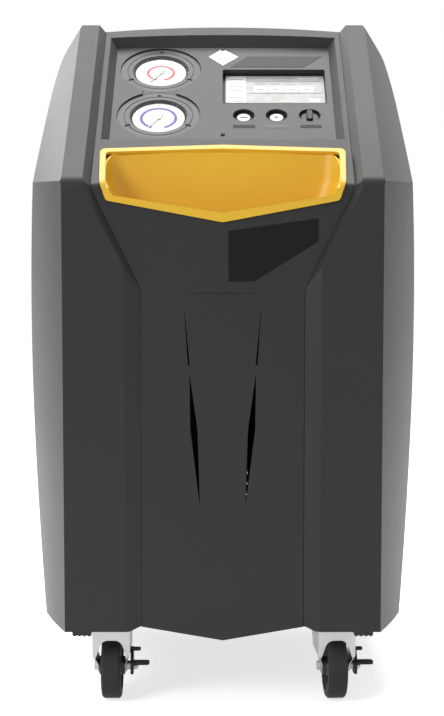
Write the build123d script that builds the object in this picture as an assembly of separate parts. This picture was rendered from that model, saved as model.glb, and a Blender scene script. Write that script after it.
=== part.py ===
from build123d import *
import os
from math import asin, atan2, cos, degrees, hypot, radians, sin, sqrt

os.makedirs("parts", exist_ok=True)

# Refrigerant recovery machine, in millimetres. X is to the right seen from the front,
# Y runs from the front to the back, and Z is up from the floor.

# Overall body
BODY_DEPTH = 560.0
HANDLE_REACH = 60.0
TOP_Z = 1058.0
KINK_Z = 793.0
LIP_Z = 122.0
SLOPE_DEG = 36.87
CREASE_X = 236.0
HALF_WIDTH = 301.0
WIDEST_Z = 538.0
SIDE_BULGE_R = 3570.0
SHOULDER_Z = 924.0
SHOULDER_R = 514.0
SHOULDER_DEG = 13.7
CORNER_R = 86.0
CORNER_DEG = 30.5
FLARE_DEPTH = 144.0
FLARE_LOW_X = 282.0
FLARE_HIGH_X = 299.0
FLARE_BOW = 3.0
FLARE_AHEAD = 40.0
KINK_R = 24.0
CREST_R = 6.0
REAR_TOP_R = 45.0
WALL = 4.0
FLANGE_DEPTH = 18.0
LOBE_CORNER = (138.8, 124.4, 5.3)
TOE_X = -210.7
TOE_DROP = 6.6
TOE_RIB_COUNT = 4
TOE_RIB_PITCH = 7.3
TOE_RIB_R = 3.4
SEAM_GAP = 0.3

# Step from the side pillars down to the centre covers
STEP_DROP = 12.0
STEP_TOP_OUT = 205.0
STEP_TOP_IN = 194.5
STEP_LOW_OUT = 145.0
STEP_LOW_IN = 122.0
STEP_BEND_Z = 783.0
STEP_LOW_OUT_Z = 668.0
STEP_LOW_IN_Z = 636.0
STEP_CORNER_R = 45.0

# Centre covers
CENTRE_WALL = 3.5
CROWN_RISE = 10.0
SPLIT_Z = 774.0
CHEVRON_SIDE_Z = 127.0
CHEVRON_TIP_Z = 106.0
REAR_RECESS = 3.0
HOOD_LOW_Z = 985.0

# Gills and crease of the front cover
GILL_TOP_X = 57.0
GILL_TOP_Z = 610.0
GILL_GAP_TOP_Z = 522.0
GILL_GAP_LOW_Z = 511.0
GILL_WIDE_Z = 425.0
GILL_LOW_X = 34.0
GILL_LOW_Z = 309.0
GILL_SLIT = 3.0
GILL_WIDE = 11.0
CREASE_LINE_Z = 629.0

# Control recess, measured on the slope: across, up the slope, and below it
RECESS_DEPTH = 15.0
RECESS_TOP_HALF = 185.5
RECESS_HALF = 174.5
RECESS_FRONT_T = 124.0
RECESS_SIDE_REAR_T = 421.0
RECESS_BOW = 9.0
PANEL_FRONT_T = 135.0
PANEL_REAR_T = 414.0
PANEL_THICK = 7.0
PANEL_FLANGE = 4.5

# Gauges
GAUGE_X = -101.0
GAUGE_HIGH_T = 347.0
GAUGE_LOW_T = 215.0
GAUGE_FLANGE_R = 65.0
GAUGE_POCKET_GAP = 0.4
GAUGE_WAIST_HALF = 27.0
GAUGE_SINK = 2.5
GAUGE_FLANGE_THICK = 3.0
GAUGE_CAN_R = 50.0
GAUGE_CAN_DEPTH = 34.0
GAUGE_BORE_R = 44.0
GAUGE_LENS_R = 45.5
LENS_SINK = 0.6
LENS_THICK = 1.2
DIAL_SINK = 4.6
DIAL_THICK = 1.0
NOTCH_WIDTH = 5.0
NEEDLE_LENGTH = 31.0
NEEDLE_TAIL = 10.0
NEEDLE_HUB_R = 4.0
NEEDLE_HUB_H = 1.4
NEEDLE_LIFT = 0.5
NEEDLE_REST_DEG = 150.0
SPINDLE_R = 1.0
RUNNING_FIT = 0.05

# Display and controls
DISPLAY_X = 83.0
DISPLAY_T = 296.5
DISPLAY_W = 166.0
DISPLAY_H = 100.0
DISPLAY_SINK = 12.0
DISPLAY_RIM = 7.0
DISPLAY_BACK = 16.0
CONTROL_T = 213.0
BUTTON_XS = (33.0, 84.5)
SELECTOR_X = 136.5
CONTROL_HOLE_R = 17.0
BUTTON_R = 10.8
BUTTON_SINK = 4.0
BUTTON_TRAVEL = 3.0
BUTTON_LENGTH = 19.0
COLLAR_R = 21.0
COLLAR_BODY_R = 14.5
COLLAR_FLANGE = 2.5
COLLAR_DEPTH = 24.0
SELECTOR_DISC_R = 14.0
SELECTOR_BAR_L = 27.0
SELECTOR_BAR_W = 9.5
SELECTOR_BAR_H = 9.0
SELECTOR_STEM_R = 5.0

# Storage tray, seen from the front
TRAY_OUT_TOP = (184.7, 843.0)
TRAY_OUT_TOP_MID_Z = 849.0
TRAY_OUT_SIDE = (181.2, 793.0)
TRAY_OUT_LOW = (171.6, 764.7)
TRAY_OUT_TIP_Z = 732.7
TRAY_RIM_W = 9.5
TRAY_RIM_PROUD = 5.0
TRAY_WALL = 3.0
TRAY_DEPTH = 82.0
TRAY_FLOOR_Z = 692.0
TRAY_FLOOR_R = 26.0
TRAY_FLOOR_HALF = 128.0
TRAY_BACK_LEAN = 12.0
TRAY_LAP = 5.0

# Chassis, frame and shelf
CHASSIS_Z = 130.0
SHEET = 3.0
CHASSIS_FLANGE = 25.0
CHASSIS_HALF = 266.0
CHASSIS_NECK_HALF = 203.0
CHASSIS_FRONT_INSET = 24.0
WHEEL_BAY_FRONT_Y = 45.0
POST = 24.0
POST_FRONT_INSET = 46.0
FRONT_POST_X = 196.0
FRONT_POST_TOP = 770.0
REAR_POST_TOP = 984.7
SHELF_Z = 637.0
REAR_SHEET = 2.0

# Casters
CASTER_X = 170.5
CASTER_TRAIL = 32.0
CASTER_WHEEL_R = 50.0
CASTER_TYRE_W = 29.5
CASTER_HUB_R = 36.0
CASTER_SETBACK = 75.0
FORK_W = 57.0
FORK_AXLE_W = 45.0
FORK_T = 2.5
SKIRT_AHEAD = 27.0
SKIRT_ARCH_TOP = 22.0
SKIRT_ARCH_HALF = 26.0
PLATE_LENGTH = 92.0
PLATE_WIDTH = 76.0
PLATE_T = 3.5
RACE_R = 27.0
RACE_H = 9.0
AXLE_BOLT_R = 4.0
LEVER_T = 4.2
RIGHT_SWIVEL_DEG = 4.0

# Rear wheels
REAR_WHEEL_R = 100.0
REAR_TYRE_W = 44.0
REAR_HUB_R = 66.0
REAR_HUB_W = 50.0
REAR_WHEEL_X = 245.0
REAR_AXLE_R = 8.0
REAR_AXLE_SETBACK = 500.0
ARCH_GAP = 14.0

# Handle
HANDLE_R = 14.0
HANDLE_HALF = 165.0
HANDLE_Z = 915.0
HANDLE_BEND_R = 36.0
HANDLE_FLANGE_R = 26.0
HANDLE_FLANGE_T = 5.0

# Rear fan, condenser and grille
FAN_Z = 780.0
FAN_R = 112.0
COIL_W = 290.0
COIL_H = 270.0
COIL_T = 36.0
COIL_TO_COVER = 14.0
FAN_RING_T = 5.0
LOUVRE_COUNT = 11
LOUVRE_PITCH = 20.0
LOUVRE_LENGTH = 230.0
LOUVRE_SLOT = 7.0
LOW_LOUVRE_COUNT = 5
LOW_LOUVRE_Z = 190.0

# Service side at the back
PORT_Z = 440.0
PORT_XS = (-150.0, -95.0)
PORT_R = 5.55
PORT_LENGTH = 15.0
INLET_X = 120.0
SWITCH_X = 60.0
SOCKET_Z = 440.0

# Inside
TANK_X = -92.0
TANK_Y = 62.0
TANK_R = 112.0
TANK_TOP_Z = 560.0
TANK_WALL = 3.0
TANK_DOME_R = 42.0
SCALE_SIZE = 236.0
SCALE_T = 6.0
CELL_H = 26.0
COMPRESSOR_X = 118.0
COMPRESSOR_Y = -150.0
COMPRESSOR_R = 78.0
COMPRESSOR_H = 240.0
PUMP_X = 122.0
PUMP_Y = 85.0
PUMP_R = 58.0
PUMP_L = 190.0

# Places worked out from the sizes above
FRONT_Y = -(BODY_DEPTH + HANDLE_REACH) / 2
REAR_Y = FRONT_Y + BODY_DEPTH
SLOPE = radians(SLOPE_DEG)
BASE_Z = LIP_Z - 42.0
FAR = 700.0
RIDGE = STEP_DROP
PANEL_N = RIDGE + RECESS_DEPTH
SLOPE_PLANE = Plane(origin=(0, FRONT_Y, KINK_Z), x_dir=(1, 0, 0), z_dir=(0, -sin(SLOPE), cos(SLOPE)))
CREST_T = (TOP_Z - KINK_Z) / sin(SLOPE)
STEP_RUN = STEP_TOP_OUT - STEP_TOP_IN


def on_slope(depth):
    """Plane parallel to the slope, the given depth below the pillar tops."""
    return SLOPE_PLANE.offset(-depth)


def at(plane, x, t):
    """The plane, moved to a point on itself."""
    return Plane(plane.from_local_coords(Vector(x, t, 0)), plane.x_dir, plane.z_dir)


def prism(plane, points, amount):
    """Straight block with the given corner points, along the plane's normal."""
    corners = [plane.from_local_coords(Vector(x, y, 0)) for x, y in points]
    ring = Polyline(*corners, close=True)
    return extrude(make_face(ring.edges()), amount=amount, dir=plane.z_dir)


def face_of(points, radii, plane):
    """Closed outline with rounded corners on a plane."""
    line = FilletPolyline(*points, radius=radii, close=True)
    return plane * make_face(line.edges())


def block(x0, x1, y0, y1, z0, z1):
    """Box between two corners."""
    size = Box(x1 - x0, y1 - y0, z1 - z0)
    return Pos((x0 + x1) / 2, (y0 + y1) / 2, (z0 + z1) / 2) * size


def rod(plane, radius, height):
    """Cylinder standing on a plane."""
    return extrude(plane * Circle(radius), amount=height)


def tube(plane, outer, inner, height):
    """Ring standing on a plane."""
    return extrude(plane * (Circle(outer) - Circle(inner)), amount=height)


def both_sides(shape):
    """The shape and its mirror image in the middle plane."""
    return Compound(children=[shape, mirror(shape, about=Plane.YZ)])


def save(shape, name):
    export_step(shape, f"parts/{name}.step")


# Outer surface of the body, as the common part of a side profile,
# a front outline and a plan whose front corners flare backwards

def side_profile(inset, top, rear, crest_r, rear_r):
    """Profile seen from the side, set in by the given wall."""
    front = FRONT_Y + inset
    kink_z = KINK_Z + (inset * sin(SLOPE) - inset) / cos(SLOPE)
    crest_y = FRONT_Y + ((top - KINK_Z) * cos(SLOPE) + inset) / sin(SLOPE)
    points = [(front, BASE_Z), (front, kink_z), (crest_y, top), (rear, top), (rear, BASE_Z)]
    radii = [0, max(KINK_R - inset, 2), crest_r, rear_r, 0]
    return extrude(face_of(points, radii, Plane.YZ), amount=FAR, both=True)


def arc_about(centre, radius, start, end, side):
    """Arc about a centre, mirrored for the left side."""
    middle = (start + end) / 2
    points = [(side * (centre[0] + radius * cos(a)), centre[1] + radius * sin(a)) for a in (start, middle, end)]
    return ThreePointArc(*points)


def front_outline(inset):
    """Bulged sides and rounded shoulders seen from the front."""
    side_c = (HALF_WIDTH - SIDE_BULGE_R, WIDEST_Z)
    low = asin((BASE_Z - WIDEST_Z) / SIDE_BULGE_R)
    high = asin((SHOULDER_Z - WIDEST_Z) / SIDE_BULGE_R)
    reach = SIDE_BULGE_R - SHOULDER_R
    shoulder_c = (side_c[0] + reach * cos(high), side_c[1] + reach * sin(high))
    turn = radians(SHOULDER_DEG)
    reach = SHOULDER_R - CORNER_R
    corner_c = (shoulder_c[0] + reach * cos(turn), shoulder_c[1] + reach * sin(turn))
    last = radians(CORNER_DEG)
    end = (corner_c[0] + (CORNER_R - inset) * cos(last), corner_c[1] + (CORNER_R - inset) * sin(last))
    run = TOP_Z + 40 - end[1]
    peak = (end[0] - run * sin(last) / cos(last), TOP_Z + 40)
    edges = []
    feet = []
    for side in (1, -1):
        first = arc_about(side_c, SIDE_BULGE_R - inset, low, high, side)
        edges.append(first)
        edges.append(arc_about(shoulder_c, SHOULDER_R - inset, high, turn, side))
        edges.append(arc_about(corner_c, CORNER_R - inset, turn, last, side))
        edges.append(Line((side * end[0], end[1]), (side * peak[0], peak[1])))
        feet.append(first @ 0)
    edges.append(Line((peak[0], peak[1]), (-peak[0], peak[1])))
    edges.append(Line(feet[0], feet[1]))
    return extrude(Plane.XZ * make_face(edges), amount=FAR, both=True)


def plan_section(flare_x, inset, z):
    """Plan of the body at one height: bowed flares that run past the front, open at the back."""
    chord = hypot(flare_x - CREASE_X, FLARE_DEPTH)
    radius = chord ** 2 / (8 * FLARE_BOW) + FLARE_BOW / 2
    lean = atan2(flare_x - CREASE_X, FLARE_DEPTH)
    half = asin(chord / 2 / radius)
    start = -(lean + half)
    end = -(lean - half)
    centre = (CREASE_X - radius * cos(start), -radius * sin(start))
    start = start - FLARE_AHEAD / radius
    far_y = BODY_DEPTH * 2
    edges = []
    tips = []
    fronts = []
    for side in (1, -1):
        flare = arc_about(centre, radius - inset, start, end, side)
        stop = flare @ 1
        run = far_y - stop.Y
        tip = (stop.X + side * run * -sin(end) / cos(end), far_y)
        edges.append(flare)
        edges.append(Line((stop.X, stop.Y), tip))
        tips.append(tip)
        fronts.append(flare @ 0)
    edges.append(Line(tips[0], tips[1]))
    edges.append(Line(fronts[0], fronts[1]))
    return Plane.XY.offset(z) * Pos(0, FRONT_Y, 0) * make_face(edges)


def envelope(inset):
    """The whole body's outer form, set in by the given wall."""
    profile = side_profile(inset, TOP_Z - inset, REAR_Y - inset, max(CREST_R - inset, 2), REAR_TOP_R - inset)
    form = profile & front_outline(inset)
    low = plan_section(FLARE_LOW_X, inset, BASE_Z - 1)
    high = plan_section(FLARE_HIGH_X, inset, KINK_Z)
    lower = loft([low, high], ruled=True)
    upper = extrude(high, amount=FAR, dir=(0, cos(SLOPE), sin(SLOPE)))
    return (form & lower) + (form & upper)


# The region of the centre covers, with slanted side walls

def step_outline(depth):
    """Front view of the centre region at a depth behind the pillars."""
    share = depth / STEP_DROP
    top_x = STEP_TOP_OUT - STEP_RUN * share
    low_x = STEP_LOW_OUT - (STEP_LOW_OUT - STEP_LOW_IN) * share
    low_z = STEP_LOW_OUT_Z - (STEP_LOW_OUT_Z - STEP_LOW_IN_Z) * share
    right = [(low_x, BASE_Z - 20), (low_x, low_z), (top_x, STEP_BEND_Z), (top_x, KINK_Z + 110)]
    left = [(-x, z) for x, z in reversed(right)]
    radii = [0, STEP_CORNER_R, STEP_CORNER_R, 0] * 2
    return face_of(right + left, radii, Plane.XZ.offset(-(FRONT_Y + depth)))


def centre_cut(grow, side_grow):
    """Everything within the centre region; grow moves its walls deeper into the pillars."""
    shallow = -6.0
    deep = FLANGE_DEPTH + 12.0
    near = Pos(0, shallow - (shallow - grow), 0) * step_outline(shallow - grow)
    far = Pos(0, grow, 0) * step_outline(deep - grow)
    front = loft([near, far], ruled=True)
    lean = STEP_RUN / STEP_DROP

    def half(height):
        return STEP_TOP_OUT + (height + grow) * lean
    section = [(-half(6), 6), (half(6), 6), (half(-deep), -deep), (-half(-deep), -deep)]
    across = Plane(origin=SLOPE_PLANE.origin, x_dir=(1, 0, 0), z_dir=(0, -cos(SLOPE), -sin(SLOPE)))
    slope = prism(across.offset(60), section, -(CREST_T + 100))
    roof = Plane(origin=(0, 0, TOP_Z), x_dir=(1, 0, 0), z_dir=(0, -1, 0))
    crest_y = FRONT_Y + CREST_T * cos(SLOPE)
    top = prism(roof.offset(-(crest_y - 30)), section, -(REAR_Y - crest_y + 60))
    wide = STEP_TOP_OUT + side_grow
    rear = block(-wide, wide, REAR_Y - deep, REAR_Y + 10, BASE_Z - 10, TOP_Z + 10)
    return front + slope + top + rear


def centre_body(inset):
    """Outer form of the centre covers, below the pillars and crowned at the top."""
    crown = TOP_Z - STEP_DROP + CROWN_RISE
    profile = side_profile(STEP_DROP + inset, crown + 2, REAR_Y - REAR_RECESS - inset, 4, REAR_TOP_R - 10)
    edge = TOP_Z - STEP_DROP - inset
    wide = STEP_TOP_OUT
    arch = ThreePointArc((wide, edge), (0, edge + CROWN_RISE), (-wide, edge))
    sides = Polyline((-wide, edge), (-wide, BASE_Z), (wide, BASE_Z), (wide, edge))
    outline = extrude(Plane.XZ * make_face(arch.edges() + sides.edges()), amount=FAR, both=True)
    return profile & outline


def build_side_cover():
    """Left cover: one moulded skin with its pillar, flanges, wheel arch and toe ribs."""
    half = block(-FAR, 0, -FAR, FAR, LIP_Z, TOP_Z + 5)
    outer = (envelope(0) & half) - centre_cut(0, 0)
    inner = envelope(WALL) - centre_cut(WALL * 1.2, WALL)
    cover = outer - inner - envelope(FLANGE_DEPTH)
    axle_y = FRONT_Y + REAR_AXLE_SETBACK
    arch = Plane.YZ.offset(-FAR) * Pos(axle_y, REAR_WHEEL_R) * Circle(REAR_WHEEL_R + ARCH_GAP)
    cover = cover - extrude(arch, amount=FAR - REAR_WHEEL_X + REAR_TYRE_W)
    out_x, in_x, rise = LOBE_CORNER
    corner = [(-out_x, LIP_Z), (-in_x, LIP_Z + rise), (0, LIP_Z + rise), (0, 0), (-out_x, 0)]
    cover = cover - prism(Plane.XZ.offset(-FRONT_Y - FLANGE_DEPTH - 20), corner, FLANGE_DEPTH + 40)
    return cover + toe_ribs()


def toe_ribs():
    """Row of round ended ribs that hangs below the outer front corner."""
    sink = 1.2
    deep = 5.0
    foot_z = LIP_Z - TOE_DROP + TOE_RIB_R
    half_row = (TOE_RIB_COUNT - 1) / 2 * TOE_RIB_PITCH
    toe = block(TOE_X - half_row, TOE_X + half_row, FRONT_Y + sink, FRONT_Y + WALL + deep,
                LIP_Z - TOE_DROP + sink, LIP_Z + 18)
    for k in range(TOE_RIB_COUNT):
        x = TOE_X - half_row + k * TOE_RIB_PITCH
        toe = toe + block(x - TOE_RIB_R, x + TOE_RIB_R, FRONT_Y + sink / 2, FRONT_Y + WALL + deep, foot_z, LIP_Z + 18)
        tip = Plane(origin=(x, FRONT_Y + sink / 2, foot_z), x_dir=(1, 0, 0), z_dir=(0, 1, 0))
        toe = toe + rod(tip, TOE_RIB_R, WALL + deep - sink / 2)
    return toe


def tray_outline(shrink, back, forth):
    """Front view outline of the tray as a prism through the front."""
    top_x, top_z = TRAY_OUT_TOP
    side_x, side_z = TRAY_OUT_SIDE
    low_x, low_z = TRAY_OUT_LOW
    s = shrink
    right = [(top_x - s, top_z - s * 0.55), (side_x - s, side_z), (low_x - s * 0.95, low_z + s * 0.8)]
    left = [(-x, z) for x, z in reversed(right)]
    points = [(0, TRAY_OUT_TOP_MID_Z - s * 0.65)] + right + [(0, TRAY_OUT_TIP_Z + s * 1.45)] + left
    radii = [60, 7, 40, 7, 14, 7, 40, 7]
    face = face_of(points, radii, Plane.XZ.offset(-back))
    return extrude(face, amount=back - forth)


def tray_slope_mouth(shrink):
    """Mouth of the tray where its rim lies on the slope, cut square to the slope."""
    proud = STEP_DROP - TRAY_RIM_PROUD
    above = 5.0

    def run(z):
        return (z - KINK_Z + proud * cos(SLOPE)) / sin(SLOPE)
    half = TRAY_OUT_TOP[0] - shrink
    low_half = TRAY_OUT_SIDE[0] - shrink
    side_t = run(TRAY_OUT_TOP[1] - shrink * 0.55)
    middle_t = run(TRAY_OUT_TOP_MID_Z - shrink * 0.65)
    points = [(-low_half, -2), (-half, side_t), (0, middle_t), (half, side_t), (low_half, -2)]
    face = face_of(points, [0, 7, 60, 7, 0], on_slope(-above))
    return extrude(face, amount=above + STEP_DROP + 0.2, dir=(0, sin(SLOPE), -cos(SLOPE)))


def tray_basin(wall):
    """Basin of the tray, open at the top and blended at its back, grown by a wall."""
    inset = TRAY_RIM_W - wall
    floor = TRAY_FLOOR_Z - wall
    top_z = TRAY_OUT_TOP[1] + 60
    lean = (TRAY_OUT_TOP[0] - TRAY_OUT_SIDE[0]) / (TRAY_OUT_TOP[1] - TRAY_OUT_SIDE[1])
    right = [(TRAY_OUT_TOP[0] - inset + 60 * lean, top_z), (TRAY_OUT_SIDE[0] - inset, TRAY_OUT_SIDE[1]),
             (TRAY_OUT_LOW[0] - inset, TRAY_OUT_LOW[1]), (TRAY_FLOOR_HALF + wall, floor)]
    left = [(-x, z) for x, z in reversed(right)]
    bend = TRAY_FLOOR_R + 6 + wall
    front = FRONT_Y + STEP_DROP + CENTRE_WALL + 1 - wall
    rear = FRONT_Y + TRAY_DEPTH + wall
    outline = face_of(right + left, [0, bend, bend, bend, bend, bend, bend, 0], Plane.XZ.offset(-front))
    basin = extrude(outline, amount=rear - front, dir=(0, 1, 0))
    behind = [(rear - TRAY_BACK_LEAN, floor - 1), (rear + 1, floor - 1), (rear + 1, top_z + 1), (rear, top_z + 1)]
    basin = basin - prism(Plane.YZ.offset(-FAR), behind, 2 * FAR)
    back = basin.faces().sort_by(Axis.Y)[-1]
    edges = [edge for edge in back.edges() if edge.center().Z < top_z - 2]
    return fillet(edges, TRAY_FLOOR_R + wall)


def build_tray():
    """Yellow tray: a rim folded over the bend of the front, with a scooped basin."""
    back = FRONT_Y + TRAY_DEPTH + 40
    forth = FRONT_Y - 10
    skin_out = side_profile(STEP_DROP - TRAY_RIM_PROUD, TOP_Z, REAR_Y, 4, 4)
    skin_in = side_profile(STEP_DROP, TOP_Z, REAR_Y, 4, 4)
    rim = (skin_out - skin_in) & tray_outline(0, back, forth)
    cover_cut = tray_outline(TRAY_LAP + 0.5, back, forth)
    behind = side_profile(STEP_DROP + CENTRE_WALL + SEAM_GAP, TOP_Z, REAR_Y, 4, 4)
    shell = (tray_basin(TRAY_WALL) & skin_in) & (cover_cut + behind)
    mouth = tray_outline(TRAY_RIM_W, FRONT_Y + 45, forth) + tray_slope_mouth(TRAY_RIM_W)
    return (rim + shell) - (tray_basin(0) & skin_in) - mouth


def gill(side):
    """Cutters of one gill: a hairline slit above a long tapered slot."""
    low = GILL_LOW_X
    slope = (GILL_TOP_X - GILL_LOW_X) / (GILL_TOP_Z - GILL_LOW_Z)

    def x_at(z):
        return low + (z - GILL_LOW_Z) * slope
    slit = [(x_at(GILL_TOP_Z), GILL_TOP_Z), (x_at(GILL_GAP_TOP_Z) + GILL_SLIT / 2, GILL_GAP_TOP_Z),
            (x_at(GILL_GAP_TOP_Z) - GILL_SLIT / 2, GILL_GAP_TOP_Z)]
    slot = [(x_at(GILL_GAP_LOW_Z), GILL_GAP_LOW_Z), (x_at(GILL_WIDE_Z) + GILL_WIDE / 2, GILL_WIDE_Z),
            (low, GILL_LOW_Z), (x_at(GILL_WIDE_Z) - GILL_WIDE / 2, GILL_WIDE_Z)]
    front = Plane.XZ.offset(-(FRONT_Y + STEP_DROP + CENTRE_WALL + 1))
    cut = None
    for points in (slit, slot):
        piece = prism(front, [(side * x, z) for x, z in points], CENTRE_WALL + 3)
        cut = piece if cut is None else cut + piece
    return cut


def build_front_cover():
    """Centre front cover with its chevron foot, gills and the notch for the tray."""
    skin = side_profile(STEP_DROP, TOP_Z, REAR_Y, 4, 4) - side_profile(STEP_DROP + CENTRE_WALL, TOP_Z, REAR_Y, 4, 4)
    zone = block(-FAR, FAR, FRONT_Y - 5, FRONT_Y + 40, BASE_Z, SPLIT_Z - SEAM_GAP / 2)
    cover = (skin & zone) & centre_cut(-SEAM_GAP * 1.3, -SEAM_GAP)
    wide = STEP_LOW_OUT + 20
    edge_z = CHEVRON_TIP_Z + (CHEVRON_SIDE_Z - CHEVRON_TIP_Z) * wide / STEP_LOW_IN
    foot = [(-wide, edge_z), (0, CHEVRON_TIP_Z), (wide, edge_z), (wide, 0), (-wide, 0)]
    cover = cover - prism(Plane.XZ, foot, FAR)
    cover = cover - tray_outline(TRAY_LAP, FRONT_Y + 60, FRONT_Y - 10)
    for side in (1, -1):
        cover = cover - gill(side)
    line = block(-GILL_TOP_X + 8, GILL_TOP_X - 8, FRONT_Y, FRONT_Y + STEP_DROP + 0.8,
                 CREASE_LINE_Z - 1, CREASE_LINE_Z)
    return cover - line


def recess_solid(grow):
    """Tapered block of the control recess; grow adds a wall round it."""
    top_half = RECESS_TOP_HALF + grow
    low_half = RECESS_HALF + grow
    rear_top = RECESS_SIDE_REAR_T + grow
    lift = 6.0
    share = (RECESS_DEPTH + lift) / RECESS_DEPTH

    def ring(half, front, rear, bow, plane):
        arc = ThreePointArc((half, rear), (0, rear + bow), (-half, rear))
        line = Polyline((-half, rear), (-half, front), (half, front), (half, rear))
        return plane * make_face(arc.edges() + line.edges())
    low_front = PANEL_FRONT_T - grow
    low_rear = PANEL_REAR_T + grow
    top_front = low_front + (RECESS_FRONT_T - PANEL_FRONT_T) * share
    wide = low_half + (top_half - low_half) * share
    back = low_rear + (rear_top - low_rear) * share
    low = ring(low_half, low_front, low_rear, 0.5, on_slope(PANEL_N))
    high = ring(wide, top_front, back, RECESS_BOW * share, on_slope(RIDGE - lift))
    return loft([low, high], ruled=True)


def build_console_cover():
    """Top cover: ridge, sunken frame of the controls, crowned roof and rear skirt."""
    skin = centre_body(0) - centre_body(CENTRE_WALL)
    zone = block(-FAR, FAR, -FAR, FAR, SPLIT_Z + SEAM_GAP / 2, FAR * 2)
    rear_zone = block(-FAR, FAR, REAR_Y - 60, FAR, 0, HOOD_LOW_Z)
    region = centre_cut(-SEAM_GAP * 1.3, -SEAM_GAP)
    cover = (skin & zone & region) - rear_zone
    funnel = recess_solid(CENTRE_WALL) & centre_body(0.01)
    cover = (cover + funnel) - recess_solid(0)
    return cover - tray_outline(TRAY_LAP, FRONT_Y + TRAY_DEPTH + 60, FRONT_Y - 10)


def build_control_panel():
    """Flat panel with gauge pockets, display window and control holes."""
    top = on_slope(PANEL_N)
    length = PANEL_REAR_T - PANEL_FRONT_T + 2 * PANEL_FLANGE
    middle = (PANEL_REAR_T + PANEL_FRONT_T) / 2
    half = RECESS_HALF + PANEL_FLANGE
    plate = extrude(at(top, 0, middle) * RectangleRounded(2 * half, length, 5), amount=-PANEL_THICK)
    for t in (GAUGE_HIGH_T, GAUGE_LOW_T):
        spot = at(top, GAUGE_X, t)
        pocket = GAUGE_SINK + GAUGE_FLANGE_THICK
        plate = plate - extrude(spot * Circle(GAUGE_FLANGE_R + GAUGE_POCKET_GAP), amount=-pocket)
        plate = plate - extrude(spot * Circle(GAUGE_CAN_R + GAUGE_POCKET_GAP), amount=-PANEL_THICK)
    between = at(top, GAUGE_X, (GAUGE_HIGH_T + GAUGE_LOW_T) / 2)
    waist = GAUGE_HIGH_T - GAUGE_LOW_T - 2 * sqrt((GAUGE_FLANGE_R + GAUGE_POCKET_GAP) ** 2 - GAUGE_WAIST_HALF ** 2)
    plate = plate - extrude(between * Rectangle(2 * GAUGE_WAIST_HALF, waist), amount=-GAUGE_SINK)
    window = at(top, DISPLAY_X, DISPLAY_T) * RectangleRounded(DISPLAY_W, DISPLAY_H, 3)
    plate = plate - extrude(window, amount=-PANEL_THICK)
    for x in (*BUTTON_XS, SELECTOR_X):
        plate = plate - extrude(at(top, x, CONTROL_T) * Circle(CONTROL_HOLE_R), amount=-PANEL_THICK)
    return plate


def build_gauge(t):
    """Case, dial, needle and lens of one gauge, in that order."""
    seat = at(on_slope(PANEL_N + GAUGE_SINK), GAUGE_X, t)
    depth = GAUGE_FLANGE_THICK + GAUGE_CAN_DEPTH
    case = extrude(seat * Circle(GAUGE_FLANGE_R), amount=-GAUGE_FLANGE_THICK)
    case = case + extrude(seat * Circle(GAUGE_CAN_R), amount=-depth)
    floor = DIAL_SINK + DIAL_THICK
    lens_floor = LENS_SINK + LENS_THICK
    case = case - extrude(seat * Circle(GAUGE_BORE_R), amount=-floor)
    case = case - extrude(seat * Circle(GAUGE_LENS_R), amount=-lens_floor)
    ring_mid = (GAUGE_FLANGE_R + GAUGE_BORE_R) / 2
    for angle in (90, 210, 330):
        notch = seat * Rot(0, 0, angle) * Pos(ring_mid, 0, 0) * Rectangle(9, NOTCH_WIDTH)
        case = case - extrude(notch, amount=-1.6)
    case = case - extrude(seat * (Circle(ring_mid) - Circle(ring_mid - 1.2)), amount=-1.0)
    stub = seat * Pos(0, 0, -depth) * Circle(6.5)
    case = case + extrude(stub, amount=-14)
    pin_hole = seat * Circle(SPINDLE_R + RUNNING_FIT)
    case = case - extrude(pin_hole, amount=-(floor + 5))
    dial_plane = seat * Pos(0, 0, -floor)
    dial = tube(dial_plane, GAUGE_BORE_R - 0.15, SPINDLE_R + 0.6, DIAL_THICK)
    needle_plane = seat * Pos(0, 0, -DIAL_SINK + NEEDLE_LIFT) * Rot(0, 0, NEEDLE_REST_DEG)
    pointer = [(-2.2, -NEEDLE_TAIL), (2.2, -NEEDLE_TAIL), (0.5, NEEDLE_LENGTH), (-0.5, NEEDLE_LENGTH)]
    needle = prism(Plane(needle_plane), pointer, 0.8)
    needle = needle + rod(needle_plane, NEEDLE_HUB_R, NEEDLE_HUB_H)
    needle = needle + extrude(needle_plane * Circle(SPINDLE_R), amount=-(NEEDLE_LIFT + DIAL_THICK + 4))
    lens = rod(seat * Pos(0, 0, -lens_floor), GAUGE_LENS_R - 0.15, LENS_THICK)
    return case, dial, needle, lens


def build_display():
    """Display housing behind the window, with the screen at the foot of its recess."""
    back = at(on_slope(PANEL_N + PANEL_THICK), DISPLAY_X, DISPLAY_T)
    rim = 2 * DISPLAY_RIM
    body = extrude(back * RectangleRounded(DISPLAY_W + rim, DISPLAY_H + rim, 4), amount=-DISPLAY_BACK)
    sink = DISPLAY_SINK - PANEL_THICK
    return body - extrude(back * RectangleRounded(DISPLAY_W, DISPLAY_H, 3), amount=-sink)


def build_collar(x, bore):
    """Guide behind the panel that carries a button or the selector."""
    back = at(on_slope(PANEL_N + PANEL_THICK), x, CONTROL_T)
    body = extrude(back * Circle(COLLAR_R), amount=-COLLAR_FLANGE)
    body = body + extrude(back * Circle(COLLAR_BODY_R), amount=-COLLAR_DEPTH)
    return body - extrude(back * Circle(bore), amount=-(COLLAR_DEPTH - 2))


def build_button(x):
    """Round push button with a softened face."""
    face = at(on_slope(PANEL_N + BUTTON_SINK), x, CONTROL_T)
    body = extrude(face * Circle(BUTTON_R), amount=-BUTTON_LENGTH)
    rim = body.faces().sort_by(Axis(face.origin, face.z_dir))[-1].edges()
    return fillet(rim, 1.2)


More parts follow.
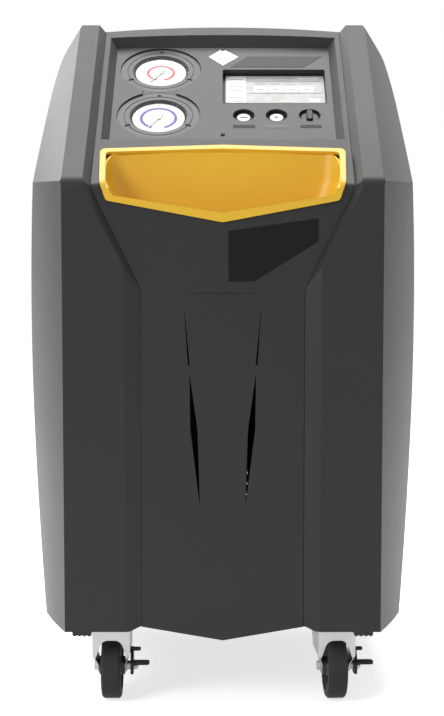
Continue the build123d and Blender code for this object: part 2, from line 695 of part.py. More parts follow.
def build_selector():
    """Selector with a raised bar grip."""
    base_depth = PANEL_N + PANEL_THICK - 0.3
    base = at(on_slope(base_depth), SELECTOR_X, CONTROL_T)
    disc = rod(base, SELECTOR_DISC_R, 2.5)
    grip = extrude(base * SlotOverall(SELECTOR_BAR_L, SELECTOR_BAR_W, rotation=90), amount=SELECTOR_BAR_H)
    top = grip.faces().sort_by(Axis(base.origin, base.z_dir))[-1].edges()
    grip = fillet(top, 1.5)
    stem = extrude(base * Circle(SELECTOR_STEM_R), amount=-16)
    return disc + grip + stem


def build_chassis():
    """Folded base pan with a narrow rear between the wheels and two axle brackets."""
    front = FRONT_Y + CHASSIS_FRONT_INSET
    rear = REAR_Y - REAR_RECESS - REAR_SHEET - SEAM_GAP
    right = [(STEP_LOW_OUT, front), (CREASE_X - 8, front), (CHASSIS_HALF, FRONT_Y + FLARE_DEPTH),
             (CHASSIS_HALF, WHEEL_BAY_FRONT_Y), (CHASSIS_NECK_HALF, WHEEL_BAY_FRONT_Y), (CHASSIS_NECK_HALF, rear)]
    points = right + [(-x, y) for x, y in reversed(right)]
    radii = [0, 8, 20, 10, 10, 0] + [0, 10, 10, 20, 8, 0]
    outline = face_of(points, radii, Plane.XY.offset(CHASSIS_Z))
    pan = extrude(outline, amount=CHASSIS_FLANGE)
    inner = offset(outline, amount=-SHEET, kind=Kind.INTERSECTION)
    pan = pan - extrude(Pos(0, 0, SHEET) * inner, amount=CHASSIS_FLANGE)
    axle_y = FRONT_Y + REAR_AXLE_SETBACK
    bracket = Plane.YZ.offset(CHASSIS_NECK_HALF - SHEET - 2)
    low = REAR_WHEEL_R - 18
    ear = [(axle_y - 38, CHASSIS_Z + 1), (axle_y - 16, low), (axle_y + 16, low), (axle_y + 38, CHASSIS_Z + 1)]
    plate = extrude(face_of(ear, [0, 12, 12, 0], bracket), amount=5, dir=(1, 0, 0))
    hole = extrude(bracket * Pos(axle_y, REAR_WHEEL_R) * Circle(REAR_AXLE_R + RUNNING_FIT), amount=8)
    plate = plate - hole
    pan = pan + plate + mirror(plate, about=Plane.YZ)
    return pan


def build_posts():
    """Four square frame posts standing on the base pan."""
    foot = CHASSIS_Z + SHEET
    front = FRONT_Y + POST_FRONT_INSET
    rear = REAR_Y - REAR_RECESS - REAR_SHEET - SEAM_GAP - SHEET - POST
    rear_x = CHASSIS_NECK_HALF - SHEET - POST
    posts = []
    for x, y, top in ((FRONT_POST_X, front, FRONT_POST_TOP), (rear_x, rear, REAR_POST_TOP)):
        post = block(x, x + POST, y, y + POST, foot, top)
        core = block(x + 2, x + POST - 2, y + 2, y + POST - 2, foot, top)
        post = post - core
        posts.append(post)
        posts.append(mirror(post, about=Plane.YZ))
    return Compound(children=posts)


def build_shelf():
    """Folded shelf between the posts, which carries the coil, drier and valves."""
    wide = FRONT_POST_X - SEAM_GAP
    rear_x = CHASSIS_NECK_HALF - SHEET - POST - SEAM_GAP
    front = FRONT_Y + POST_FRONT_INSET
    rear = REAR_Y - REAR_RECESS - REAR_SHEET - SEAM_GAP
    neck = rear - POST - 6
    right = [(wide, front), (wide, neck), (rear_x, neck), (rear_x, rear)]
    points = right + [(-x, y) for x, y in reversed(right)]
    outline = face_of(points, [0] * len(points), Plane.XY.offset(SHELF_Z))
    shelf = extrude(outline, amount=SHEET)
    lip = block(-wide, wide, front, front + 2, SHELF_Z - 18, SHELF_Z)
    return shelf + lip


def louvre(length, z):
    """Pressed hood over one slot of the rear cover."""
    face_y = REAR_Y - REAR_RECESS
    hood = [(face_y - 0.5, z + LOUVRE_SLOT), (face_y + 5, z + 1), (face_y + 5, z - 0.5),
            (face_y - 0.5, z + LOUVRE_SLOT - 1.6)]
    return prism(Plane.YZ.offset(-length / 2), hood, length)


def build_rear_cover():
    """Sheet steel back with pressed louvres and openings for the service fittings."""
    back = REAR_Y - REAR_RECESS
    wide = STEP_TOP_OUT - SEAM_GAP
    sheet = block(-wide, wide, back - REAR_SHEET, back, CHASSIS_Z - 4, HOOD_LOW_Z - SEAM_GAP)
    start = FAN_Z - (LOUVRE_COUNT - 1) * LOUVRE_PITCH / 2
    rows = [(LOUVRE_LENGTH, start + k * LOUVRE_PITCH) for k in range(LOUVRE_COUNT)]
    rows += [(LOUVRE_LENGTH, LOW_LOUVRE_Z + k * LOUVRE_PITCH) for k in range(LOW_LOUVRE_COUNT)]
    for length, z in rows:
        slot = block(-length / 2 + 2, length / 2 - 2, back - 5, back + 2, z, z + LOUVRE_SLOT - 1.6)
        sheet = sheet - slot
        sheet = sheet + louvre(length, z)
    for x in PORT_XS:
        hole = Plane.XZ.offset(-back - 1) * Pos(x, PORT_Z) * Circle(8 + RUNNING_FIT)
        sheet = sheet - extrude(hole, amount=REAR_SHEET + 2)
    for x, w, h in ((INLET_X, 28, 20), (SWITCH_X, 22, 30)):
        gap = 0.4
        sheet = sheet - block(x - w / 2 - gap, x + w / 2 + gap, back - 5, back + 5,
                              SOCKET_Z - h / 2 - gap, SOCKET_Z + h / 2 + gap)
    return sheet


def build_handle():
    """Bent steel push handle with a round flange at each end."""
    back = REAR_Y - REAR_RECESS
    out_y = REAR_Y + HANDLE_REACH - HANDLE_R
    points = [(-HANDLE_HALF, back + 1, HANDLE_Z), (-HANDLE_HALF, out_y, HANDLE_Z),
              (HANDLE_HALF, out_y, HANDLE_Z), (HANDLE_HALF, back + 1, HANDLE_Z)]
    path = FilletPolyline(*points, radius=HANDLE_BEND_R)
    start = Plane(origin=points[0], x_dir=(1, 0, 0), z_dir=(0, 1, 0))
    bar = sweep(start * Circle(HANDLE_R), path=path)
    for x in (-HANDLE_HALF, HANDLE_HALF):
        seat = Plane(origin=(x, back, HANDLE_Z), x_dir=(1, 0, 0), z_dir=(0, 1, 0))
        bar = bar + rod(seat, HANDLE_FLANGE_R, HANDLE_FLANGE_T)
    return bar


# Casters are drawn for the left side with the wheel towards the front

CASTER_PIVOT_Y = FRONT_Y + CASTER_SETBACK + CASTER_TRAIL
CASTER_WHEEL_Y = FRONT_Y + CASTER_SETBACK
PLATE_Z = CHASSIS_Z - PLATE_T
FORK_TOP_Z = PLATE_Z - RACE_H


def build_caster_plate():
    """Top plate and ball race housing that bolt under the base pan."""
    spot = Pos(-CASTER_X, CASTER_PIVOT_Y, PLATE_Z)
    plate = extrude(RectangleRounded(PLATE_WIDTH, PLATE_LENGTH, 8), amount=PLATE_T)
    for x in (-1, 1):
        for y in (-1, 1):
            hole = Pos(x * (PLATE_WIDTH / 2 - 10), y * (PLATE_LENGTH / 2 - 10)) * Circle(4.2)
            plate = plate - extrude(hole, amount=PLATE_T)
    race = Pos(0, 0, -RACE_H + 0.3) * Cylinder(RACE_R, RACE_H - 0.3, align=(Align.CENTER, Align.CENTER, Align.MIN))
    plate = plate + race
    bore = Pos(0, 0, -RACE_H) * Cylinder(5 + RUNNING_FIT, RACE_H + PLATE_T - 1, align=(Align.CENTER, Align.CENTER, Align.MIN))
    return spot * (plate - bore)


def fork_front_view(inset):
    """Front view of the fork: wide at the crown and drawn in towards the axle, set in by its sheet."""
    wide = FORK_W / 2 - inset
    close = FORK_AXLE_W / 2 - inset
    bend_z = CASTER_WHEEL_R + 22 - inset
    top = FORK_TOP_Z - inset
    right = [(close, 0), (close, bend_z - 14), (wide, bend_z), (wide, top)]
    left = [(-x, z) for x, z in reversed(right)]
    return extrude(face_of(right + left, [0, 8, 8, 4, 4, 8, 8, 0], Plane.XZ), amount=FAR, both=True)


def build_caster_fork():
    """Pressed fork: crown, arched front skirt, two drawn in legs and the king pin."""
    z0 = FORK_TOP_Z
    axle_z = CASTER_WHEEL_R
    front = -CASTER_TRAIL
    skirt = front - SKIRT_AHEAD
    leg = [(28, z0 + 5), (28, z0 - 22), (front + 13, axle_z - 2), (front + 6, axle_z - 9), (front - 6, axle_z - 9),
           (front - 12, axle_z - 2), (skirt, axle_z + 20), (skirt, z0 + 5)]
    side = extrude(face_of(leg, [0, 10, 6, 6, 6, 6, 8, 0], Plane.YZ), amount=FORK_W, both=True)
    room = block(-FORK_W, FORK_W, skirt + FORK_T, FAR, -FAR, z0 - FORK_T)
    legs = (fork_front_view(0) & side) - (fork_front_view(FORK_T) & room)
    top = z0 - SKIRT_ARCH_TOP
    arch = [(-SKIRT_ARCH_HALF, 0), (-SKIRT_ARCH_HALF, top - 34), (-14, top), (14, top),
            (SKIRT_ARCH_HALF, top - 34), (SKIRT_ARCH_HALF, 0)]
    opening = extrude(face_of(arch, [0, 14, 13, 13, 14, 0], Plane.XZ.offset(-skirt - FORK_T)), amount=3 * FORK_T,
                      dir=(0, -1, 0))
    legs = legs - opening
    hole = rod(Plane(origin=(-FORK_W, front, axle_z), x_dir=(0, 1, 0), z_dir=(1, 0, 0)), AXLE_BOLT_R, 2 * FORK_W)
    legs = legs - hole
    pin = Pos(0, 0, z0 - 1) * Cylinder(5, RACE_H + 1 + PLATE_T - 3, align=(Align.CENTER, Align.CENTER, Align.MIN))
    washer = Pos(0, 0, z0) * Cylinder(RACE_R - 6, 0.3 - 0.05, align=(Align.CENTER, Align.CENTER, Align.MIN))
    return Pos(-CASTER_X, CASTER_PIVOT_Y, 0) * (legs + pin + washer)


def build_caster_axle():
    """Bolt through fork, wheel and brake, with a spacer under the brake and a nut over it."""
    half = FORK_AXLE_W / 2
    line = Plane(origin=(-CASTER_X - half - 5, CASTER_WHEEL_Y, CASTER_WHEEL_R), x_dir=(0, 1, 0), z_dir=(1, 0, 0))
    head = extrude(line * RegularPolygon(7, 6), amount=5)
    brake_in = 5 + half + FORK_W / 2
    brake_out = brake_in + SEAM_GAP + LEVER_T + SEAM_GAP
    shank = rod(line, AXLE_BOLT_R, brake_out + 7)
    spacer = rod(line.offset(5 + 2 * half), 7, brake_in - 5 - 2 * half)
    nut = extrude(line.offset(brake_out) * RegularPolygon(6.5, 6), amount=5.5)
    return head + shank + spacer + nut


def wheel_profile(radius, inner, width, crown):
    """Ring with a rounded tread, turned about the X axis."""
    half = width / 2
    points = [(-half, inner), (half, inner), (half, radius - crown), (half - crown, radius),
              (-half + crown, radius), (-half, radius - crown)]
    radii = [0, 0, crown * 0.7, crown * 0.9, crown * 0.9, crown * 0.7]
    return revolve(face_of(points, radii, Plane.XY), axis=Axis.X)


def build_caster_wheel():
    """Hub and tyre of one caster wheel."""
    half = CASTER_TYRE_W / 2
    gap = AXLE_BOLT_R + RUNNING_FIT
    web = 4.0
    boss = 14.0
    side = FORK_AXLE_W / 2 - FORK_T - SEAM_GAP
    right = [(side, gap), (side, boss), (half - 1, boss), (web, boss + 5), (web, CASTER_HUB_R - 7),
             (half - 2, CASTER_HUB_R - 4), (half - 2, CASTER_HUB_R)]
    points = right + [(-x, r) for x, r in reversed(right)]
    hub = revolve(face_of(points, [0] * len(points), Plane.XY), axis=Axis.X)
    tyre = wheel_profile(CASTER_WHEEL_R, CASTER_HUB_R, CASTER_TYRE_W, 3.0)
    spot = Pos(-CASTER_X, CASTER_WHEEL_Y, CASTER_WHEEL_R)
    return spot * hub, spot * tyre


def build_brake_lever():
    """Side brake: a plate on the axle with a long lower pedal and a short upper one."""
    x0 = -CASTER_X + FORK_W / 2 + SEAM_GAP
    thick = LEVER_T
    plane = Plane.YZ.offset(x0)
    outline = [(-17, -10), (4, -12), (14, 4), (10, 27), (-8, 27), (-20, 8)]
    body = prism(plane, [(CASTER_WHEEL_Y + y, CASTER_WHEEL_R + z) for y, z in outline], thick)
    body = body - extrude(plane * Pos(CASTER_WHEEL_Y, CASTER_WHEEL_R) * Circle(AXLE_BOLT_R + RUNNING_FIT), amount=thick)
    lower = block(x0 + 1, x0 + 29, CASTER_WHEEL_Y - 22, CASTER_WHEEL_Y - 4, CASTER_WHEEL_R + 6, CASTER_WHEEL_R + 9.5)
    lower = fillet(lower.edges().filter_by(Axis.Z).sort_by(Axis.X)[2:], 6)
    upper = block(x0 + 1, x0 + 15, CASTER_WHEEL_Y - 2, CASTER_WHEEL_Y + 9, CASTER_WHEEL_R + 23, CASTER_WHEEL_R + 26.5)
    upper = fillet(upper.edges().filter_by(Axis.Z).sort_by(Axis.X)[2:], 4)
    return body + lower + upper


def build_caster_bolts():
    """Bolts that hold both top plates to the base pan."""
    bolts = []
    for side in (-1, 1):
        for x in (-1, 1):
            for y in (-1, 1):
                spot = Pos(side * CASTER_X + x * (PLATE_WIDTH / 2 - 10), CASTER_PIVOT_Y + y * (PLATE_LENGTH / 2 - 10), 0)
                head = extrude(Plane.XY.offset(PLATE_Z - 4) * RegularPolygon(6.5, 6), amount=4)
                shank = extrude(Plane.XY.offset(PLATE_Z - 1) * Circle(3.9), amount=PLATE_T + 1)
                bolts.append(spot * (head + shank))
    return Compound(children=bolts)


def to_right(shape, turn):
    """Caster part moved to the right side and swivelled about its king pin."""
    moved = Pos(2 * CASTER_X, 0, 0) * shape
    pivot = (CASTER_X, CASTER_PIVOT_Y, 0)
    return moved.rotate(Axis(pivot, (0, 0, 1)), turn)


def build_rear_axle():
    """Axle with two spacer collars and a push-on cap at each end."""
    end = REAR_WHEEL_X + REAR_HUB_W / 2 + 4
    y = FRONT_Y + REAR_AXLE_SETBACK
    line = Plane(origin=(-end, y, REAR_WHEEL_R), x_dir=(0, 1, 0), z_dir=(1, 0, 0))
    bar = rod(line, REAR_AXLE_R, 2 * end)
    inner = CHASSIS_NECK_HALF + SEAM_GAP
    hub_in = REAR_WHEEL_X - REAR_HUB_W / 2 - SEAM_GAP
    hub_out = REAR_WHEEL_X + REAR_HUB_W / 2 + SEAM_GAP
    for side in (-1, 1):
        for x0, x1, r in ((inner, hub_in, 13), (hub_out, hub_out + 5, 15)):
            start = min(side * x0, side * x1)
            ring = Plane(origin=(start, y, REAR_WHEEL_R), x_dir=(0, 1, 0), z_dir=(1, 0, 0))
            bar = bar + rod(ring, r, x1 - x0)
    return bar


def build_rear_wheel(side):
    """Spoked hub and ribbed tyre of one rear wheel."""
    bore = REAR_AXLE_R + RUNNING_FIT
    half = REAR_HUB_W / 2
    rim = REAR_TYRE_W / 2 - 3
    right = [(half, bore), (half, 19), (9, 21), (7, REAR_HUB_R - 14), (rim, REAR_HUB_R - 8), (rim, REAR_HUB_R)]
    points = right + [(-x, r) for x, r in reversed(right)]
    hub = revolve(face_of(points, [0] * len(points), Plane.XY), axis=Axis.X)
    window = Plane.YZ.offset(-30) * Pos(0, 37) * SlotOverall(19, 12)
    cut = extrude(window, amount=60)
    for k in range(6):
        hub = hub - cut.rotate(Axis.X, k * 60)
    tyre = wheel_profile(REAR_WHEEL_R, REAR_HUB_R, REAR_TYRE_W, 8)
    for x in (-9, 0, 9):
        groove = revolve(Plane.XY * Pos(x, REAR_WHEEL_R) * Rectangle(2.4, 5), axis=Axis.X)
        tyre = tyre - groove
    spot = Pos(side * REAR_WHEEL_X, FRONT_Y + REAR_AXLE_SETBACK, REAR_WHEEL_R)
    return spot * hub, spot * tyre


def build_ports():
    """Two flare fittings through the rear cover, each with hexagon and lock nut."""
    back = REAR_Y - REAR_RECESS
    ports = []
    for x in PORT_XS:
        line = Plane(origin=(x, back, PORT_Z), x_dir=(1, 0, 0), z_dir=(0, 1, 0))
        hexagon = extrude(line * RegularPolygon(11, 6), amount=9)
        stem = extrude(line * Circle(8), amount=-22)
        nut = extrude(line.offset(-REAR_SHEET) * RegularPolygon(13, 6), amount=-6)
        thread = rod(line, PORT_R, 9 + PORT_LENGTH)
        cone = Plane(origin=(x, back + 9 + PORT_LENGTH, PORT_Z), x_dir=(1, 0, 0), z_dir=(0, 1, 0))
        nose = loft([cone * Circle(PORT_R), cone.offset(3) * Circle(3.4)])
        body = hexagon + stem + nut + thread + nose
        bore = extrude(line.offset(9 + PORT_LENGTH + 3) * Circle(2.4), amount=-(PORT_LENGTH + 20))
        ports.append(body - bore)
    return Compound(children=ports)


def build_inlet():
    """Appliance inlet: flanged body with a recess and three contact pins."""
    back = REAR_Y - REAR_RECESS
    line = Plane(origin=(INLET_X, back, SOCKET_Z), x_dir=(-1, 0, 0), z_dir=(0, 1, 0))
    flange = extrude(line * SlotOverall(50, 24), amount=3)
    body = extrude(line * RectangleRounded(28, 20, 2), amount=-22)
    cavity = extrude(line.offset(3) * RectangleRounded(24, 16, 3), amount=-19)
    inlet = (flange + body) - cavity
    for x, z in ((-7, -2), (0, 2), (7, -2)):
        inlet = inlet + extrude(line.offset(-17) * Pos(x, z) * Rectangle(2, 4), amount=11)
    return inlet


def build_switch():
    """Frame of the mains switch and its rocker, in that order."""
    back = REAR_Y - REAR_RECESS
    line = Plane(origin=(SWITCH_X, back, SOCKET_Z), x_dir=(-1, 0, 0), z_dir=(0, 1, 0))
    frame = extrude(line * RectangleRounded(28, 36, 2), amount=2.5)
    frame = frame + extrude(line * Rectangle(22, 30), amount=-20)
    frame = frame - extrude(line.offset(2.5) * Rectangle(18, 26), amount=-18)
    frame = frame + cross_pin(line)
    profile = Polyline((-12, 3.5), (0, 1.2), (12, 6.5), (11, -3), (3, -6.5), (-3, -6.5), (-11, -3), (-12, 3.5))
    side = Plane(origin=(SWITCH_X - 8.7, back, SOCKET_Z), x_dir=(0, 0, 1), z_dir=(1, 0, 0))
    rocker = extrude(side * make_face(Polyline(*[(p.X, -p.Y) for p in corner_points(profile)]).edges()), amount=17.4)
    pin = extrude(side.offset(-1) * Pos(0, 0) * Circle(1.5 + RUNNING_FIT), amount=22)
    return frame, rocker - pin


def corner_points(line):
    """Corner points of a closed line, in order."""
    ends = [edge @ 0 for edge in line.edges()]
    return ends + [ends[0]]


def cross_pin(line):
    """Pin across the switch frame on which the rocker tips."""
    start = Plane(origin=line.origin + Vector(-9.5, 0, 0), x_dir=(0, 1, 0), z_dir=(1, 0, 0))
    return rod(start, 1.5, 19)


# Inner units

def tank_form(foot, inset):
    """Domed cylinder of the tank, set in by its wall."""
    height = TANK_TOP_Z - foot - 2 * inset
    form = Pos(0, 0, foot + inset) * Cylinder(TANK_R - inset, height, align=(Align.CENTER, Align.CENTER, Align.MIN))
    return fillet(form.edges().filter_by(GeomType.CIRCLE), TANK_DOME_R - inset)


def build_tank():
    """Storage cylinder with domed ends, foot ring and two valves on top."""
    foot = CHASSIS_Z + SHEET + CELL_H + SCALE_T
    spot = Pos(TANK_X, TANK_Y, 0)
    shell = tank_form(foot + 12, 0) - tank_form(foot + 12, TANK_WALL)
    ring = tube(Plane.XY.offset(foot), TANK_R - 22, TANK_R - 26, 16)
    neck = tube(Plane.XY.offset(TANK_TOP_Z - 10), 62, 58, 52)
    neck = neck - block(-30, 30, -80, 80, TANK_TOP_Z + 14, TANK_TOP_Z + 34)
    tank = shell + ring + neck
    for x in (-24, 24):
        tank = tank + Pos(x, 0, TANK_TOP_Z - 2) * Cylinder(9, 34, align=(Align.CENTER, Align.CENTER, Align.MIN))
        tank = tank + Pos(x, 0, TANK_TOP_Z + 32) * Cylinder(14, 8, align=(Align.CENTER, Align.CENTER, Align.MIN))
    return spot * tank


def build_scale():
    """Weighing platform and the load cell beam below it, in that order."""
    foot = CHASSIS_Z + SHEET
    z = foot + CELL_H
    half = SCALE_SIZE / 2
    platform = block(TANK_X - half, TANK_X + half, TANK_Y - half, TANK_Y + half, z, z + SCALE_T)
    platform = fillet(platform.edges().filter_by(Axis.Z), 14)
    beam = block(TANK_X - 65, TANK_X + 65, TANK_Y - 15, TANK_Y + 15, foot + 4, z - 4)
    for x in (-9, 9):
        cut = Plane.XZ.offset(-(TANK_Y + 16)) * Pos(TANK_X + x, foot + CELL_H / 2) * Circle(6)
        beam = beam - extrude(cut, amount=32)
    low = block(TANK_X - 65, TANK_X - 25, TANK_Y - 15, TANK_Y + 15, foot, foot + 5)
    high = block(TANK_X + 25, TANK_X + 65, TANK_Y - 15, TANK_Y + 15, z - 5, z)
    return platform, beam + low + high


def build_compressor():
    """Hermetic compressor: welded can, foot plate, rubber feet and three stubs."""
    foot = CHASSIS_Z + SHEET
    can = Pos(0, 0, foot + 24) * Cylinder(COMPRESSOR_R, COMPRESSOR_H, align=(Align.CENTER, Align.CENTER, Align.MIN))
    can = fillet(can.edges().filter_by(GeomType.CIRCLE), 34)
    seam = Pos(0, 0, foot + 24 + COMPRESSOR_H / 2) * Cylinder(COMPRESSOR_R + 3, 4)
    base = extrude(Plane.XY.offset(foot + 16) * RectangleRounded(170, 130, 12), amount=9)
    body = can + seam + base
    for x in (-72, 72):
        for y in (-52, 52):
            body = body + Pos(x, y, foot) * Cylinder(11, 17, align=(Align.CENTER, Align.CENTER, Align.MIN))
    for angle, z, r in ((200, 90, 7), (235, 90, 5), (250, 170, 5)):
        stub = Plane(origin=(0, 0, foot + z), x_dir=(0, 0, 1), z_dir=(cos(radians(angle)), sin(radians(angle)), 0))
        body = body + rod(stub, r, COMPRESSOR_R + 24)
    return Pos(COMPRESSOR_X, COMPRESSOR_Y, 0) * body


def build_pump():
    """Vacuum pump: ribbed motor, pump head with sight glass, feet and exhaust."""
    foot = CHASSIS_Z + SHEET
    z = foot + 26 + PUMP_R
    start = Plane(origin=(PUMP_X, PUMP_Y - PUMP_L / 2, z), x_dir=(1, 0, 0), z_dir=(0, 1, 0))
    motor = rod(start, PUMP_R, PUMP_L * 0.6)
    for k in range(7):
        motor = motor + rod(start.offset(14 + k * 13), PUMP_R + 5, 4)
    head_y = PUMP_Y - PUMP_L / 2 + PUMP_L * 0.6
    head = block(PUMP_X - 50, PUMP_X + 50, head_y, PUMP_Y + PUMP_L / 2, z - 55, z + 45)
    head = fillet(head.edges().filter_by(Axis.Y), 10)
    glass = rod(Plane(origin=(PUMP_X, PUMP_Y + PUMP_L / 2, z - 20), x_dir=(1, 0, 0), z_dir=(0, 1, 0)), 14, 4)
    exhaust = Pos(PUMP_X, head_y + 30, z + 44) * Cylinder(12, 46, align=(Align.CENTER, Align.CENTER, Align.MIN))
    pump = motor + head + glass + exhaust
    for y in (PUMP_Y - 70, PUMP_Y + 60):
        pump = pump + block(PUMP_X - 52, PUMP_X + 52, y - 12, y + 12, foot, foot + 8)
        pump = pump + block(PUMP_X - 20, PUMP_X + 20, y - 12, y + 12, foot + 7, z - PUMP_R + 12)
    return pump


COIL_REAR_Y = REAR_Y - REAR_RECESS - REAR_SHEET - COIL_TO_COVER
COIL_FRONT_Y = COIL_REAR_Y - COIL_T


def build_coil():
    """Condenser: finned block with header plates and return bends."""
    z0 = SHELF_Z + SHEET
    half = COIL_W / 2
    coil = block(-half, half, COIL_FRONT_Y, COIL_REAR_Y, z0, z0 + COIL_H)
    for x in (-half - 2, half):
        coil = coil + block(x, x + 2, COIL_FRONT_Y - 1, COIL_REAR_Y + 1, z0, z0 + COIL_H)
    middle_y = (COIL_FRONT_Y + COIL_REAR_Y) / 2
    for k in range(6):
        z = z0 + 25 + k * 44
        loop = Plane(origin=(half + 1, middle_y, z + 11), x_dir=(1, 0, 0), z_dir=(0, -1, 0))
        ring = revolve(loop * Pos(0, 11) * Circle(4), axis=Axis((half + 1, middle_y, z + 11), (0, 1, 0)), revolution_arc=-180)
        coil = coil + ring
    return coil


def build_fan():
    """Shroud with motor arms, motor, and bladed rotor, in that order."""
    plate_y = COIL_FRONT_Y - 1 - FAN_RING_T
    z0 = SHELF_Z + SHEET
    half = COIL_W / 2
    shroud = block(-half, half, plate_y, plate_y + FAN_RING_T, z0, z0 + COIL_H)
    face = Plane(origin=(0, plate_y + FAN_RING_T, FAN_Z), x_dir=(1, 0, 0), z_dir=(0, -1, 0))
    shroud = shroud + rod(face, FAN_R + 8, FAN_RING_T + 26)
    shroud = shroud - extrude(face * Circle(FAN_R + 4), amount=60)
    motor_y = plate_y - 34
    arm_y = plate_y - 26
    arms = block(-FAN_R - 6, FAN_R + 6, arm_y, arm_y + 4, FAN_Z - 7, FAN_Z + 7)
    arms = arms + block(-7, 7, arm_y, arm_y + 4, FAN_Z - FAN_R - 6, FAN_Z + FAN_R + 6)
    bearing = Plane(origin=(0, arm_y, FAN_Z), x_dir=(1, 0, 0), z_dir=(0, 1, 0))
    arms = arms - extrude(bearing * Circle(6), amount=6)
    shroud = shroud + arms
    motor = rod(Plane(origin=(0, arm_y, FAN_Z), x_dir=(1, 0, 0), z_dir=(0, -1, 0)), 34, 46)
    motor = motor + rod(Plane(origin=(0, arm_y, FAN_Z), x_dir=(1, 0, 0), z_dir=(0, 1, 0)), 3, 26)
    hub_y = arm_y + 6
    hub_plane = Plane(origin=(0, hub_y, FAN_Z), x_dir=(1, 0, 0), z_dir=(0, 1, 0))
    rotor = rod(hub_plane, 24, 17)
    blade_root = 20
    for k in range(5):
        blade = extrude(Plane.YZ.offset(blade_root) * Rectangle(2, 52), amount=FAN_R - 8 - blade_root)
        blade = blade.rotate(Axis.X, 62)
        blade = blade.rotate(Axis.Y, k * 72)
        rotor = rotor + Pos(0, hub_y + 8.5, FAN_Z) * blade
    rotor = rotor & rod(hub_plane.offset(-1.5), FAN_R, 22)
    rotor = rotor - extrude(hub_plane.offset(-4) * Circle(3 + RUNNING_FIT), amount=30)
    return shroud, motor, rotor


def build_drier():
    """Filter drier canister on its bracket."""
    z0 = SHELF_Z + SHEET
    can = Pos(0, 0, z0 + 12) * Cylinder(34, 120, align=(Align.CENTER, Align.CENTER, Align.MIN))
    can = fillet(can.edges().filter_by(GeomType.CIRCLE), 12)
    foot = Pos(0, 0, z0) * Cylinder(20, 14, align=(Align.CENTER, Align.CENTER, Align.MIN))
    neck = Pos(0, 0, z0 + 130) * Cylinder(8, 16, align=(Align.CENTER, Align.CENTER, Align.MIN))
    return Pos(-130, -60, 0) * (can + foot + neck)


def build_manifold():
    """Valve block with a row of solenoid coils."""
    z0 = SHELF_Z + SHEET
    body = block(-70, 110, -160, -118, z0, z0 + 38)
    for k in range(4):
        x = -45 + k * 42
        body = body + Pos(x, -139, z0 + 37) * Cylinder(7, 52, align=(Align.CENTER, Align.CENTER, Align.MIN))
        body = body + block(x - 16, x + 16, -155, -123, z0 + 42, z0 + 76)
    return body


def build_board():
    """Control board on four pillars behind the display."""
    back = on_slope(PANEL_N + PANEL_THICK)
    reach = 34.0
    wide = 190.0
    tall = 128.0
    board = extrude(at(back, DISPLAY_X, DISPLAY_T) * Pos(0, 0, -reach) * Rectangle(wide, tall), amount=-1.6)
    for x in (-1, 1):
        for y in (-1, 1):
            post = at(back, DISPLAY_X, DISPLAY_T) * Pos(x * (wide / 2 - 3), y * (tall / 2 - 3), 0) * Circle(2.5)
            board = board + extrude(post, amount=-reach - 1)
    chips = at(back, DISPLAY_X, DISPLAY_T) * Pos(0, 0, -reach - 1.5)
    for x, y, w, h, up in ((-50, 20, 40, 30, 14), (20, -20, 28, 28, 4), (60, 30, 30, 40, 18)):
        board = board + extrude(chips * Pos(x, y) * Rectangle(w, h), amount=-up)
    return board


def build_separator():
    """Oil separator can strapped to the shelf."""
    z0 = SHELF_Z + SHEET
    can = Pos(0, 0, z0 + 4) * Cylinder(30, 112, align=(Align.CENTER, Align.CENTER, Align.MIN))
    can = fillet(can.edges().filter_by(GeomType.CIRCLE), 10)
    foot = Pos(0, 0, z0) * Cylinder(18, 8, align=(Align.CENTER, Align.CENTER, Align.MIN))
    return Pos(140, -50, 0) * (can + foot)


def build_screws():
    """Pan head screws of the control panel and the rear cover."""
    screws = []
    top = on_slope(PANEL_N)
    for t in (PANEL_REAR_T - 5, PANEL_FRONT_T + 25):
        screws.append(rod(at(top, 0, t), 3.2, 2))
    back = REAR_Y - REAR_RECESS
    edge = STEP_TOP_OUT - 12
    heights = [CHASSIS_Z + 30 + k * 200 for k in range(5)]
    for x in (-edge, edge):
        for z in heights:
            line = Plane(origin=(x, back, z), x_dir=(1, 0, 0), z_dir=(0, 1, 0))
            screws.append(rod(line, 4.5, 2.6))
    return Compound(children=screws)


